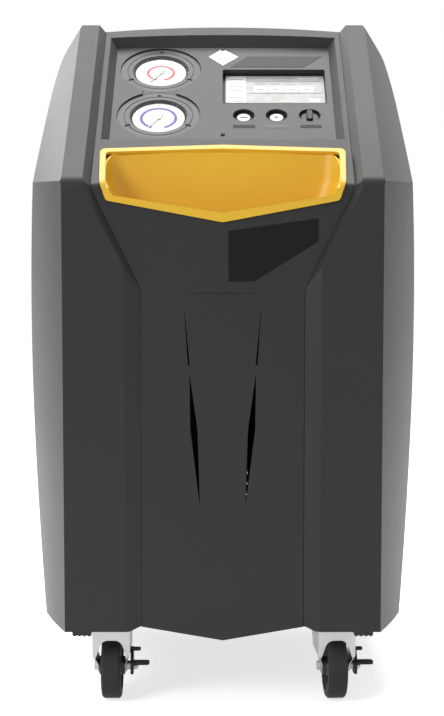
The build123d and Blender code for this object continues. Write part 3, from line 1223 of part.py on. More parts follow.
def build_all():
    cover = build_side_cover()
    save(cover, "side_cover_left")
    save(mirror(cover, about=Plane.YZ), "side_cover_right")
    save(build_front_cover(), "front_cover")
    save(build_console_cover(), "console_cover")
    save(build_tray(), "storage_tray")
    save(build_control_panel(), "control_panel")
    save(build_rear_cover(), "rear_cover")
    save(build_handle(), "rear_handle")
    save(build_chassis(), "base_chassis")
    save(build_posts(), "frame_posts")
    save(build_shelf(), "equipment_shelf")
    for name, t in (("high_gauge", GAUGE_HIGH_T), ("low_gauge", GAUGE_LOW_T)):
        case, dial, needle, lens = build_gauge(t)
        save(case, name + "_case")
        save(dial, name + "_dial")
        save(needle, name + "_needle")
        save(lens, name + "_lens")
    save(build_display(), "display_module")
    collars = [build_collar(x, BUTTON_R + RUNNING_FIT) for x in BUTTON_XS]
    collars.append(build_collar(SELECTOR_X, SELECTOR_STEM_R + RUNNING_FIT))
    save(Compound(children=collars), "control_collars")
    save(build_button(BUTTON_XS[0]), "stop_button")
    save(build_button(BUTTON_XS[1]), "start_button")
    save(build_selector(), "selector_knob")
    save(build_screws(), "cover_screws")
    hub, tyre = build_caster_wheel()
    caster = {"caster_plate": build_caster_plate(), "caster_fork": build_caster_fork(),
              "caster_axle": build_caster_axle(), "caster_wheel": hub, "caster_tyre": tyre,
              "brake_lever": build_brake_lever()}
    for name, shape in caster.items():
        save(shape, name + "_left")
        turn = 0 if name == "caster_plate" else RIGHT_SWIVEL_DEG
        save(to_right(shape, turn), name + "_right")
    save(build_caster_bolts(), "caster_bolts")
    save(build_rear_axle(), "rear_axle")
    for side, word in ((-1, "left"), (1, "right")):
        hub, tyre = build_rear_wheel(side)
        save(hub, "rear_wheel_" + word)
        save(tyre, "rear_tyre_" + word)
    save(build_ports(), "service_ports")
    save(build_inlet(), "power_inlet")
    frame, rocker = build_switch()
    save(frame, "switch_frame")
    save(rocker, "switch_rocker")
    save(build_tank(), "storage_tank")
    platform, cell = build_scale()
    save(platform, "scale_platform")
    save(cell, "load_cell")
    save(build_compressor(), "compressor")
    save(build_pump(), "vacuum_pump")
    save(build_coil(), "condenser_coil")
    shroud, motor, rotor = build_fan()
    save(shroud, "fan_shroud")
    save(motor, "fan_motor")
    save(rotor, "fan_rotor")
    save(build_drier(), "filter_drier")
    save(build_separator(), "oil_separator")
    save(build_manifold(), "valve_manifold")
    save(build_board(), "control_board")


if __name__ == "__main__":
    build_all()
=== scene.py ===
from math import atan, cos, pi, radians, sin

import bmesh
import bpy
from mathutils import Matrix, Vector


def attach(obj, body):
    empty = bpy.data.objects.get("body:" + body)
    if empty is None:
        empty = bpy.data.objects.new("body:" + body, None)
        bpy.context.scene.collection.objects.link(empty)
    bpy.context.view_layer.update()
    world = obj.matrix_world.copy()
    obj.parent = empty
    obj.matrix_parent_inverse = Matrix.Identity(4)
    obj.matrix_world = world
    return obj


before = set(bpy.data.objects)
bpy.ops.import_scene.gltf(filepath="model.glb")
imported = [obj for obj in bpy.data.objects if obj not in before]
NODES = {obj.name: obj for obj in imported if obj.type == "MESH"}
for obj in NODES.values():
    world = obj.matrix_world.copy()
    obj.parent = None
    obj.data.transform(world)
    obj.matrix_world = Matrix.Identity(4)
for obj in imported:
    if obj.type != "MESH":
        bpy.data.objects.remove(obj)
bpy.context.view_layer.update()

# Places shared with the part's source, in metres
FRONT_Y = -0.310
REAR_Y = 0.250
KINK_Z = 0.793
SLOPE = atan(0.75)
STEP_DROP = 0.012
PANEL_N = 0.027
SCREEN_N = 0.039
DIAL_N = 0.0341
SHADE_RISE = 0.0026
GAUGE_X = -0.101
HIGH_T = 0.347
LOW_T = 0.215
CONTROL_T = 0.213
BUTTON_XS = (0.033, 0.0845)
SELECTOR_X = 0.1365
BUTTON_SINK = 0.004
PANEL_THICK = 0.007
PLATE_FRONT_Y = FRONT_Y + STEP_DROP

# Camera of the photograph
CAMERA_DISTANCE = 2.309
CAMERA_HEIGHT = 0.7451
CAMERA_PITCH = radians(5.23)
CAMERA_LENS = 79.2
CAMERA_SHIFT = -0.00105

# Levels of the background and the floor
WORLD_LEVEL = 0.42
FLOOR_GLOW = 0.68
FLOOR_HALF = 9.0


# Node tools

def sockets(group, direction, names):
    for name, kind, default in names:
        socket = group.interface.new_socket(name=name, in_out=direction, socket_type=kind)
        if default is not None:
            socket.default_value = default


def link(tree, start, end):
    tree.links.new(start, end)


def add(tree, kind, **settings):
    node = tree.nodes.new(kind)
    for key, value in settings.items():
        setattr(node, key, value)
    return node


def set_inputs(node, **values):
    for key, value in values.items():
        node.inputs[key.replace("_", " ")].default_value = value
    return node


def new_group(name, inputs, outputs):
    group = bpy.data.node_groups.new(name, "ShaderNodeTree")
    sockets(group, "INPUT", inputs)
    sockets(group, "OUTPUT", outputs)
    start = add(group, "NodeGroupInput")
    end = add(group, "NodeGroupOutput")
    return group, start, end


def grain_group():
    """Fine spark-eroded grain of a moulded skin, with a slow change of tone."""
    group, start, end = new_group(
        "moulded_grain",
        [("Grain Scale", "NodeSocketFloat", 900.0), ("Grain Height", "NodeSocketFloat", 1.0),
         ("Tone Scale", "NodeSocketFloat", 3.0), ("Tone Range", "NodeSocketFloat", 0.1)],
        [("Height", "NodeSocketFloat", None), ("Tone", "NodeSocketFloat", None),
         ("Roughness Shift", "NodeSocketFloat", None)])
    place = add(group, "ShaderNodeTexCoord")
    fine = set_inputs(add(group, "ShaderNodeTexNoise"), Detail=3.0, Roughness=0.6)
    link(group, place.outputs["Object"], fine.inputs["Vector"])
    link(group, start.outputs["Grain Scale"], fine.inputs["Scale"])
    height = add(group, "ShaderNodeMath", operation="MULTIPLY")
    link(group, fine.outputs["Fac"], height.inputs[0])
    link(group, start.outputs["Grain Height"], height.inputs[1])
    link(group, height.outputs[0], end.inputs["Height"])
    broad = set_inputs(add(group, "ShaderNodeTexNoise"), Detail=4.0, Roughness=0.55)
    link(group, place.outputs["Object"], broad.inputs["Vector"])
    link(group, start.outputs["Tone Scale"], broad.inputs["Scale"])
    centred = add(group, "ShaderNodeMath", operation="SUBTRACT")
    link(group, broad.outputs["Fac"], centred.inputs[0])
    centred.inputs[1].default_value = 0.5
    spread = add(group, "ShaderNodeMath", operation="MULTIPLY")
    link(group, centred.outputs[0], spread.inputs[0])
    link(group, start.outputs["Tone Range"], spread.inputs[1])
    tone = add(group, "ShaderNodeMath", operation="ADD")
    link(group, spread.outputs[0], tone.inputs[0])
    tone.inputs[1].default_value = 1.0
    link(group, tone.outputs[0], end.inputs["Tone"])
    shift = add(group, "ShaderNodeMath", operation="MULTIPLY")
    link(group, spread.outputs[0], shift.inputs[0])
    shift.inputs[1].default_value = 0.8
    link(group, shift.outputs[0], end.inputs["Roughness Shift"])
    return group


def dust_group():
    """Dust that gathers in patches, most on faces that look up."""
    group, start, end = new_group(
        "settled_dust",
        [("Base", "NodeSocketColor", (0.5, 0.5, 0.5, 1)), ("Dust", "NodeSocketColor", (0.4, 0.38, 0.35, 1)),
         ("Amount", "NodeSocketFloat", 0.1)],
        [("Color", "NodeSocketColor", None), ("Mask", "NodeSocketFloat", None)])
    place = add(group, "ShaderNodeTexCoord")
    patches = set_inputs(add(group, "ShaderNodeTexNoise"), Scale=9.0, Detail=6.0, Roughness=0.7)
    link(group, place.outputs["Object"], patches.inputs["Vector"])
    ramp = add(group, "ShaderNodeValToRGB")
    ramp.color_ramp.elements[0].position = 0.42
    ramp.color_ramp.elements[1].position = 0.72
    link(group, patches.outputs["Fac"], ramp.inputs["Fac"])
    facing = add(group, "ShaderNodeNewGeometry")
    split = add(group, "ShaderNodeSeparateXYZ")
    link(group, facing.outputs["Normal"], split.inputs[0])
    upward = add(group, "ShaderNodeMapRange")
    upward.inputs["From Min"].default_value = -0.1
    upward.inputs["From Max"].default_value = 0.9
    upward.inputs["To Min"].default_value = 0.15
    link(group, split.outputs["Z"], upward.inputs["Value"])
    both = add(group, "ShaderNodeMath", operation="MULTIPLY")
    link(group, ramp.outputs["Color"], both.inputs[0])
    link(group, upward.outputs["Result"], both.inputs[1])
    mask = add(group, "ShaderNodeMath", operation="MULTIPLY")
    link(group, both.outputs[0], mask.inputs[0])
    link(group, start.outputs["Amount"], mask.inputs[1])
    mix = add(group, "ShaderNodeMix", data_type="RGBA")
    link(group, mask.outputs[0], mix.inputs["Factor"])
    link(group, start.outputs["Base"], mix.inputs["A"])
    link(group, start.outputs["Dust"], mix.inputs["B"])
    link(group, mix.outputs["Result"], end.inputs["Color"])
    link(group, mask.outputs[0], end.inputs["Mask"])
    return group


def streak_group():
    """Fine drawn lines of rolled, ground or plated metal."""
    group, start, end = new_group(
        "drawn_lines",
        [("Along", "NodeSocketVector", (40.0, 900.0, 900.0)), ("Strength", "NodeSocketFloat", 0.2)],
        [("Height", "NodeSocketFloat", None), ("Roughness Shift", "NodeSocketFloat", None)])
    place = add(group, "ShaderNodeTexCoord")
    stretch = add(group, "ShaderNodeVectorMath", operation="MULTIPLY")
    link(group, place.outputs["Object"], stretch.inputs[0])
    link(group, start.outputs["Along"], stretch.inputs[1])
    lines = set_inputs(add(group, "ShaderNodeTexNoise"), Scale=1.0, Detail=2.0)
    link(group, stretch.outputs[0], lines.inputs["Vector"])
    strength = add(group, "ShaderNodeMath", operation="MULTIPLY")
    link(group, lines.outputs["Fac"], strength.inputs[0])
    link(group, start.outputs["Strength"], strength.inputs[1])
    link(group, strength.outputs[0], end.inputs["Height"])
    link(group, strength.outputs[0], end.inputs["Roughness Shift"])
    return group


def mottle_group():
    """Two tones in soft patches, for screens and foils."""
    group, start, end = new_group(
        "soft_mottle",
        [("First", "NodeSocketColor", (0.4, 0.4, 0.4, 1)), ("Second", "NodeSocketColor", (0.5, 0.5, 0.5, 1)),
         ("Scale", "NodeSocketFloat", 60.0)],
        [("Color", "NodeSocketColor", None), ("Mask", "NodeSocketFloat", None)])
    place = add(group, "ShaderNodeTexCoord")
    patches = set_inputs(add(group, "ShaderNodeTexNoise"), Detail=3.0, Roughness=0.6)
    link(group, place.outputs["Object"], patches.inputs["Vector"])
    link(group, start.outputs["Scale"], patches.inputs["Scale"])
    steep = add(group, "ShaderNodeMapRange")
    steep.inputs["From Min"].default_value = 0.35
    steep.inputs["From Max"].default_value = 0.65
    link(group, patches.outputs["Fac"], steep.inputs["Value"])
    mix = add(group, "ShaderNodeMix", data_type="RGBA")
    link(group, steep.outputs["Result"], mix.inputs["Factor"])
    link(group, start.outputs["First"], mix.inputs["A"])
    link(group, start.outputs["Second"], mix.inputs["B"])
    link(group, mix.outputs["Result"], end.inputs["Color"])
    link(group, steep.outputs["Result"], end.inputs["Mask"])
    return group


GRAIN = grain_group()
DUST = dust_group()
STREAKS = streak_group()
MOTTLE = mottle_group()


def new_material(name, roughness, metallic=0.0, **extra):
    material = bpy.data.materials.new(name)
    material.use_nodes = True
    shader = material.node_tree.nodes["Principled BSDF"]
    shader.inputs["Roughness"].default_value = roughness
    shader.inputs["Metallic"].default_value = metallic
    for key, value in extra.items():
        shader.inputs[key.replace("_", " ")].default_value = value
    return material, material.node_tree, shader


def place_group(tree, group, **values):
    node = add(tree, "ShaderNodeGroup", node_tree=group)
    for key, value in values.items():
        node.inputs[key.replace("_", " ")].default_value = value
    return node


def moulded(name, colour, roughness, grain=900.0, height=0.35, bump=0.00012, tone=0.12, dust=0.05,
            edge=0.0012, **extra):
    """Moulded or powder coated skin: grain, slow tone change, settled dust and soft edges."""
    material, tree, shader = new_material(name, roughness, **extra)
    grain_node = place_group(tree, GRAIN, Grain_Scale=grain, Grain_Height=height, Tone_Scale=4.0, Tone_Range=tone)
    dust_node = place_group(tree, DUST, Base=(*colour, 1), Amount=dust)
    toned = add(tree, "ShaderNodeMix", data_type="RGBA", blend_type="MULTIPLY")
    toned.inputs["Factor"].default_value = 1.0
    link(tree, dust_node.outputs["Color"], toned.inputs["A"])
    link(tree, grain_node.outputs["Tone"], toned.inputs["B"])
    link(tree, toned.outputs["Result"], shader.inputs["Base Color"])
    rough = add(tree, "ShaderNodeMath", operation="ADD")
    link(tree, grain_node.outputs["Roughness Shift"], rough.inputs[0])
    rough.inputs[1].default_value = roughness
    link(tree, rough.outputs[0], shader.inputs["Roughness"])
    bump_node = add(tree, "ShaderNodeBump")
    bump_node.inputs["Distance"].default_value = bump
    link(tree, grain_node.outputs["Height"], bump_node.inputs["Height"])
    soft = add(tree, "ShaderNodeBevel")
    soft.samples = 6
    soft.inputs["Radius"].default_value = edge
    link(tree, soft.outputs["Normal"], bump_node.inputs["Normal"])
    link(tree, bump_node.outputs["Normal"], shader.inputs["Normal"])
    return material


def metal(name, colour, roughness, along=(40.0, 900.0, 900.0), strength=0.15, edge=0.0006, **extra):
    """Plated or bare metal with fine drawn lines."""
    material, tree, shader = new_material(name, roughness, metallic=1.0, **extra)
    lines = place_group(tree, STREAKS, Along=along, Strength=strength)
    grain_node = place_group(tree, GRAIN, Grain_Scale=300.0, Grain_Height=0.2, Tone_Scale=20.0, Tone_Range=0.25)
    toned = add(tree, "ShaderNodeMix", data_type="RGBA", blend_type="MULTIPLY")
    toned.inputs["Factor"].default_value = 1.0
    toned.inputs["A"].default_value = (*colour, 1)
    link(tree, grain_node.outputs["Tone"], toned.inputs["B"])
    link(tree, toned.outputs["Result"], shader.inputs["Base Color"])
    rough = add(tree, "ShaderNodeMath", operation="ADD")
    link(tree, lines.outputs["Roughness Shift"], rough.inputs[0])
    rough.inputs[1].default_value = roughness
    link(tree, rough.outputs[0], shader.inputs["Roughness"])
    bump_node = add(tree, "ShaderNodeBump")
    bump_node.inputs["Distance"].default_value = 0.0001
    link(tree, lines.outputs["Height"], bump_node.inputs["Height"])
    soft = add(tree, "ShaderNodeBevel")
    soft.samples = 6
    soft.inputs["Radius"].default_value = edge
    link(tree, soft.outputs["Normal"], bump_node.inputs["Normal"])
    link(tree, bump_node.outputs["Normal"], shader.inputs["Normal"])
    return material


def clear_lens():
    """Thin clear window of a gauge, with a faint gloss that grows towards its edge."""
    material, tree, shader = new_material("gauge_window", 0.05)
    shader.inputs["Base Color"].default_value = (0.9, 0.9, 0.9, 1)
    clear = add(tree, "ShaderNodeBsdfTransparent")
    facing = add(tree, "ShaderNodeLayerWeight")
    facing.inputs["Blend"].default_value = 0.15
    share = add(tree, "ShaderNodeMath", operation="MULTIPLY")
    share.inputs[1].default_value = 0.12
    mix = add(tree, "ShaderNodeMixShader")
    link(tree, facing.outputs["Facing"], share.inputs[0])
    link(tree, share.outputs[0], mix.inputs[0])
    link(tree, clear.outputs[0], mix.inputs[1])
    link(tree, shader.outputs[0], mix.inputs[2])
    link(tree, mix.outputs[0], tree.nodes["Material Output"].inputs["Surface"])
    return material


def lit_screen():
    """Screen glass with its pale grey picture area."""
    material, tree, shader = new_material("screen_picture", 0.3, Specular_IOR_Level=0.3)
    shader.inputs["Emission Strength"].default_value = 0.25
    mottle = place_group(tree, MOTTLE, First=(0.30, 0.30, 0.295, 1), Second=(0.36, 0.365, 0.35, 1), Scale=60.0)
    link(tree, mottle.outputs["Color"], shader.inputs["Base Color"])
    link(tree, mottle.outputs["Color"], shader.inputs["Emission Color"])
    return material


def foil_label():
    """Faded foil of the bare diamond label, mottled between two pale tones."""
    material, tree, shader = new_material("faded_foil", 0.35, metallic=0.3)
    mottle = place_group(tree, MOTTLE, First=(0.34, 0.31, 0.38, 1), Second=(0.62, 0.60, 0.62, 1), Scale=95.0)
    link(tree, mottle.outputs["Color"], shader.inputs["Base Color"])
    return material


SHELL = moulded("charcoal_shell", (0.013, 0.013, 0.0135), 0.45, dust=0.02, Specular_IOR_Level=0.32,
                Sheen_Weight=0.25, Sheen_Roughness=0.4)
PANEL = moulded("panel_plastic", (0.020, 0.020, 0.0205), 0.42, grain=1400.0, dust=0.02, Specular_IOR_Level=0.34,
                Sheen_Weight=0.25, Sheen_Roughness=0.4)
RING = moulded("gauge_ring", (0.034, 0.034, 0.0345), 0.38, grain=1600.0, dust=0.01, edge=0.0008,
               Specular_IOR_Level=0.36, Sheen_Weight=0.25, Sheen_Roughness=0.4)
YELLOW = moulded("tray_yellow", (0.78, 0.46, 0.022), 0.38, height=0.25, tone=0.06, dust=0.02, edge=0.0015)
SHEET = moulded("black_sheet", (0.016, 0.016, 0.0165), 0.5, grain=500.0, height=0.7, dust=0.08)
HANDLE = moulded("handle_coat", (0.012, 0.012, 0.012), 0.4, grain=600.0, height=0.5)
TYRE = moulded("tyre_rubber", (0.020, 0.020, 0.0195), 0.7, grain=700.0, height=0.6, dust=0.15,
               Specular_IOR_Level=0.3)
HUB = moulded("wheel_hub", (0.05, 0.05, 0.05), 0.45, dust=0.15)
BLACK = moulded("black_plastic", (0.008, 0.008, 0.008), 0.4, grain=1500.0, dust=0.01, edge=0.0004,
                Specular_IOR_Level=0.25)
# Matt black used only for the painted shade: the ring that paints the shadow in each gauge's bore.
PAINTED_SHADE = moulded("painted_shade_black", (0.004, 0.004, 0.004), 0.8, dust=0.0, edge=0.0002, Specular_IOR_Level=0.05)
PLATE = moulded("bare_plate", (0.005, 0.005, 0.0055), 0.3, height=0.05, tone=0.05, dust=0.01, edge=0.0003,
                Specular_IOR_Level=0.15)
BUTTON = moulded("button_cap", (0.62, 0.62, 0.61), 0.32, grain=1500.0, height=0.1, dust=0.01, edge=0.0005)
DIAL = moulded("dial_card", (0.66, 0.66, 0.64), 0.6, grain=900.0, height=0.05, tone=0.04, dust=0.0, edge=0.0002)
PALE_PRINT = moulded("pale_print", (0.60, 0.60, 0.59), 0.5, height=0.05, dust=0.0, edge=0.0002)
GREY_STRIP = moulded("grey_strip", (0.05, 0.05, 0.05), 0.5, height=0.05, dust=0.0, edge=0.0002)
GREY_PRINT = moulded("grey_print", (0.16, 0.16, 0.165), 0.5, height=0.05, dust=0.0, edge=0.0002)
DARK_PRINT = moulded("dark_print", (0.010, 0.010, 0.010), 0.5, height=0.05, dust=0.0, edge=0.0002,
                     Specular_IOR_Level=0.2)
RED_PRINT = moulded("red_print", (0.46, 0.03, 0.06), 0.5, height=0.05, dust=0.0, edge=0.0002)
BLUE_PRINT = moulded("blue_print", (0.03, 0.025, 0.30), 0.5, height=0.05, dust=0.0, edge=0.0002)
SCREEN_INK = moulded("screen_ink", (0.24, 0.24, 0.25), 0.3, height=0.02, dust=0.0, edge=0.0001)
SCREEN_WHITE = moulded("screen_white", (0.66, 0.66, 0.66), 0.3, height=0.02, dust=0.0, edge=0.0001)
SCREEN_GREEN = moulded("screen_green", (0.40, 0.48, 0.36), 0.3, height=0.02, dust=0.0, edge=0.0001)
TANK = moulded("tank_paint", (0.32, 0.33, 0.34), 0.35, height=0.4)
PUMP = moulded("pump_casting", (0.05, 0.12, 0.22), 0.45, grain=250.0, height=1.0)
GREEN_BOARD = moulded("circuit_board", (0.02, 0.10, 0.04), 0.35)
COMPRESSOR = moulded("compressor_paint", (0.01, 0.01, 0.011), 0.25, height=0.3)
ZINC = metal("zinc_plate", (0.50, 0.50, 0.49), 0.42)
NEEDLE = metal("needle_metal", (0.35, 0.35, 0.35), 0.4)
BRASS = metal("machined_brass", (0.72, 0.52, 0.24), 0.28)
FINS = metal("coil_fins", (0.7, 0.7, 0.7), 0.35, along=(900.0, 40.0, 30.0), strength=0.3)
LENS = clear_lens()
SCREEN = lit_screen()
FOIL = foil_label()

FINISHES = {
    SHELL: ["side_cover_left", "side_cover_right", "front_cover", "console_cover"],
    PANEL: ["control_panel"],
    RING: ["high_gauge_case", "low_gauge_case"],
    YELLOW: ["storage_tray"],
    SHEET: ["rear_cover", "base_chassis", "frame_posts", "equipment_shelf", "scale_platform"],
    HANDLE: ["rear_handle"],
    ZINC: ["caster_plate_left", "caster_plate_right", "caster_fork_left", "caster_fork_right",
           "caster_axle_left", "caster_axle_right", "caster_bolts", "rear_axle", "fan_shroud"],
    TYRE: ["caster_tyre_left", "caster_tyre_right", "rear_tyre_left", "rear_tyre_right"],
    HUB: ["caster_wheel_left", "caster_wheel_right", "rear_wheel_left", "rear_wheel_right"],
    DIAL: ["high_gauge_dial", "low_gauge_dial"],
    LENS: ["high_gauge_lens", "low_gauge_lens"],
    NEEDLE: ["high_gauge_needle", "low_gauge_needle"],
    BLACK: ["brake_lever_left", "brake_lever_right", "display_module", "control_collars", "selector_knob", "power_inlet", "switch_frame",
            "switch_rocker", "fan_rotor", "cover_screws"],
    BUTTON: ["start_button", "stop_button"],
    BRASS: ["service_ports", "valve_manifold"],
    COMPRESSOR: ["compressor", "fan_motor", "oil_separator", "filter_drier"],
    PUMP: ["vacuum_pump"],
    TANK: ["storage_tank"],
    FINS: ["condenser_coil", "load_cell"],
    GREEN_BOARD: ["control_board"],
}


def dress_nodes():
    """Give each CAD node its finish."""
    for material, names in FINISHES.items():
        for name in names:
            for holder in NODES[name].material_slots:
                holder.link = "OBJECT"
                holder.material = material


# Mesh tools

def slope_frame(x, t, depth):
    """Frame on the slope: X across, Y up the slope, Z out of it."""
    across = Vector((1, 0, 0))
    up = Vector((0, cos(SLOPE), sin(SLOPE)))
    out = Vector((0, -sin(SLOPE), cos(SLOPE)))
    spot = Vector((x, FRONT_Y, KINK_Z)) + t * up - depth * out
    return Matrix.Translation(spot) @ Matrix((across, up, out)).transposed().to_4x4()


def front_frame(x, z, y):
    """Frame on the upright front: X across, Y up, Z out towards the viewer."""
    axes = Matrix((Vector((1, 0, 0)), Vector((0, 0, 1)), Vector((0, -1, 0)))).transposed().to_4x4()
    return Matrix.Translation((x, y, z)) @ axes


def make_piece(name, mesh, place, material, body="machine"):
    mesh.transform(place)
    piece = bpy.data.objects.new(name, mesh)
    bpy.context.scene.collection.objects.link(piece)
    mesh.materials.append(material)
    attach(piece, body)
    return piece


def plate(name, outline, thickness, place, material, bevel=0.0002, body="machine"):
    """Thin plate with the given outline and softened edges."""
    shape = bmesh.new()
    low = [shape.verts.new((x, y, 0)) for x, y in outline]
    base = shape.faces.new(low)
    grown = bmesh.ops.extrude_face_region(shape, geom=[base])
    top = [v for v in grown["geom"] if isinstance(v, bmesh.types.BMVert)]
    bmesh.ops.translate(shape, verts=top, vec=(0, 0, thickness))
    bmesh.ops.recalc_face_normals(shape, faces=shape.faces)
    if bevel:
        rim = [e for e in shape.edges if all(v.co.z > thickness * 0.5 for v in e.verts)]
        bmesh.ops.bevel(shape, geom=rim, offset=bevel, segments=2, affect="EDGES")
    mesh = bpy.data.meshes.new(name)
    shape.to_mesh(mesh)
    shape.free()
    return make_piece(name, mesh, place, material, body)


def rounded(width, height, radius, steps=5):
    """Corner points of a rounded rectangle about the origin."""
    points = []
    for sx, sy, start in ((1, 1, 0), (-1, 1, 90), (-1, -1, 180), (1, -1, 270)):
        for k in range(steps + 1):
            angle = radians(start + 90 * k / steps)
            points.append((sx * (width / 2 - radius) + radius * cos(angle),
                           sy * (height / 2 - radius) + radius * sin(angle)))
    return points


def arc_band(inner, outer, start, end, steps=72):
    """Outline of a band between two radii, with angles in degrees."""
    angles = [radians(start + (end - start) * k / steps) for k in range(steps + 1)]
    points = [(outer * cos(a), outer * sin(a)) for a in angles]
    return points + [(inner * cos(a), inner * sin(a)) for a in reversed(angles)]


# Gauge dials

def print_dial(name, t, ink, radius, width, gap, numbers):
    """Coloured band, scale marks, plain numbers and a matt black ring of painted shade round one gauge dial."""
    card = slope_frame(GAUGE_X, t, DIAL_N)
    start = 240
    end = -60
    band = arc_band(radius - width / 2, radius + width / 2, -90 + gap / 2, 270 - gap / 2)
    plate(name + "_band", band, 0.0001, card, ink, bevel=0)
    count = 30
    for k in range(count + 1):
        angle = radians(start + (end - start) * k / count)
        major = k % 5 == 0
        length = 0.0032 if major else 0.0018
        mark = rounded(length, 0.0005 if major else 0.0003, 0.0001, steps=1)
        turn = Matrix.Rotation(angle, 4, "Z") @ Matrix.Translation((radius + width / 2 + 0.0012 + length / 2, 0, 0))
        plate(f"{name}_mark_{k}", mark, 0.0001, card @ turn, ink if major else GREY_PRINT, bevel=0)
    for k, number in enumerate(numbers):
        angle = radians(start + (end - start) * k / (len(numbers) - 1))
        reach = radius + width / 2 + 0.0075
        number_at(f"{name}_number_{k}", number, 0.0046, card, (reach * cos(angle), reach * sin(angle)), GREY_PRINT)
    # Matt black ring from the dial's edge up the bore's wall: painted shade where the recessed wall lies in shadow.
    painted_shade = [(0.0413, 0.0001), (0.0437, SHADE_RISE), (0.0438, SHADE_RISE), (0.0438, 0.0001)]
    lathe(name + "_shade", painted_shade, card, PAINTED_SHADE)


def lathe(name, profile, place, material, steps=96, body="machine"):
    """Closed ring turned about the frame's Z axis from points of radius and height."""
    shape = bmesh.new()
    rows = []
    for k in range(steps):
        angle = 2 * pi * k / steps
        rows.append([shape.verts.new((r * cos(angle), r * sin(angle), z)) for r, z in profile])
    for k in range(steps):
        here = rows[k]
        there = rows[(k + 1) % steps]
        for j in range(len(profile)):
            i = (j + 1) % len(profile)
            shape.faces.new((here[j], there[j], there[i], here[i]))
    bmesh.ops.recalc_face_normals(shape, faces=shape.faces)
    for face in shape.faces:
        face.smooth = True
    mesh = bpy.data.meshes.new(name)
    shape.to_mesh(mesh)
    shape.free()
    mesh.set_sharp_from_angle(angle=radians(30))
    return make_piece(name, mesh, place, material, body)


def number_at(name, text, size, card, spot, material):
    """One plain number as a flat piece."""
    curve = bpy.data.curves.new(name, "FONT")
    curve.body = text
    curve.size = size
    curve.align_x = "CENTER"
    curve.align_y = "CENTER"
    curve.resolution_u = 2
    word = bpy.data.objects.new(name, curve)
    bpy.context.scene.collection.objects.link(word)
    bpy.context.view_layer.update()
    shape = word.evaluated_get(bpy.context.evaluated_depsgraph_get())
    mesh = bpy.data.meshes.new_from_object(shape)
    mesh.materials.clear()
    bpy.data.objects.remove(word)
    bpy.data.curves.remove(curve)
    make_piece(name, mesh, card @ Matrix.Translation((*spot, 0.00012)), material)


# Screen

SCREEN_PICTURE = (0.0045, 0.1645, 0.2655, 0.3455)
LIST_ROWS = 7
TILE_LEFT = (0.0498, 0.0748, 0.0999, 0.1249)


def screen_piece(name, x0, x1, t0, t1, material, lift=0.0003, thick=0.0002):
    place = slope_frame((x0 + x1) / 2, (t0 + t1) / 2, SCREEN_N - lift)
    return plate(name, rounded(x1 - x0, t1 - t0, 0.0006, steps=2), thick, place, material, bevel=0)


def build_screen():
    """Picture area of the screen with a list, four tiles and plain bars."""
    x0, x1, t0, t1 = SCREEN_PICTURE
    screen_piece("screen_picture", x0, x1, t0, t1, SCREEN, lift=0.0002, thick=0.0002)
    screen_piece("screen_list", 0.0056, 0.0375, 0.2665, 0.3445, SCREEN_WHITE, lift=0.0005)
    for k in range(LIST_ROWS):
        low = 0.2690 + k * 0.0108
        screen_piece(f"screen_row_{k}", 0.0095, 0.0335, low, low + 0.0018, SCREEN_INK, lift=0.0007)
    for k, x in enumerate(TILE_LEFT):
        screen_piece(f"screen_tile_{k}", x, x + 0.0215, 0.2975, 0.3150, SCREEN_WHITE, lift=0.0005)
        screen_piece(f"screen_tile_bar_{k}", x + 0.006, x + 0.0155, 0.3035, 0.3065, SCREEN_INK, lift=0.0007)
        screen_piece(f"screen_value_{k}", x + 0.003, x + 0.0185, 0.3210, 0.3226, SCREEN_INK, lift=0.0005)
    screen_piece("screen_top_bar", 0.1225, 0.1575, 0.3362, 0.3402, SCREEN_WHITE, lift=0.0005)
    screen_piece("screen_low_bar", 0.1400, 0.1560, 0.2690, 0.2775, SCREEN_WHITE, lift=0.0005)
    for k, x in enumerate((0.0915, 0.1065)):
        screen_piece(f"screen_state_{k}", x, x + 0.0105, 0.2685, 0.2725, SCREEN_GREEN, lift=0.0005)
    for k, t in enumerate((0.2930, 0.3290)):
        screen_piece(f"screen_rule_{k}", 0.0420, 0.1590, t, t + 0.0006, SCREEN_INK, lift=0.0004)


# Bare labels and plates

def build_labels():
    """Bare labels and plates of the panel and of the front."""
    panel = slope_frame(0, 0, PANEL_N)
    diamond = [(-0.0233, 0.3858), (-0.0006, 0.4111), (0.0259, 0.3858), (0.0003, 0.3591)]
    plate("bare_diamond_label", diamond, 0.0003, panel, FOIL)
    slanted = [(0.0120, 0.3539), (0.1327, 0.3539), (0.1634, 0.3869), (0.0411, 0.3869)]
    plate("bare_slanted_plate", slanted, 0.0004, panel, PLATE)
    for k, (x0, x1) in enumerate(((0.0161, 0.0506), (0.0670, 0.1015), (0.1206, 0.1536))):
        tone = DARK_PRINT if k != 1 else GREY_STRIP
        strip = [(x0, 0.1772), (x1, 0.1772), (x1, 0.1858), (x0, 0.1858)]
        plate(f"control_strip_{k}", strip, 0.0003, panel, tone)
    front = front_frame(0, 0, PLATE_FRONT_Y)
    outline = [(0.0085, 0.6458), (0.0460, 0.6458), (0.1407, 0.7046), (0.1406, 0.7383), (0.0084, 0.7200)]
    plate("bare_front_plate", outline, 0.0006, front, PLATE)


def build_control_marks():
    """Plain marks on the two buttons and the grey washer under the selector's grip."""
    face_n = PANEL_N + BUTTON_SINK
    stop = slope_frame(BUTTON_XS[0], CONTROL_T, face_n)
    plate("stop_mark", rounded(0.0125, 0.0026, 0.0012), 0.0002, stop, DARK_PRINT, bevel=0, body="stop")
    start = slope_frame(BUTTON_XS[1], CONTROL_T, face_n)
    arrow = [(-0.0030, -0.0042), (0.0046, 0.0), (-0.0030, 0.0042)]
    plate("start_mark", arrow, 0.0002, start, GREY_PRINT, bevel=0, body="start")
    disc_n = PANEL_N + PANEL_THICK - 0.0028
    washer = slope_frame(SELECTOR_X, CONTROL_T, disc_n)
    lathe("selector_washer", [(0.0049, 0.0), (0.0136, 0.0), (0.0138, 0.0004), (0.0049, 0.0004)], washer, PANEL,
          body="selector")


# Camera, lamps and floor

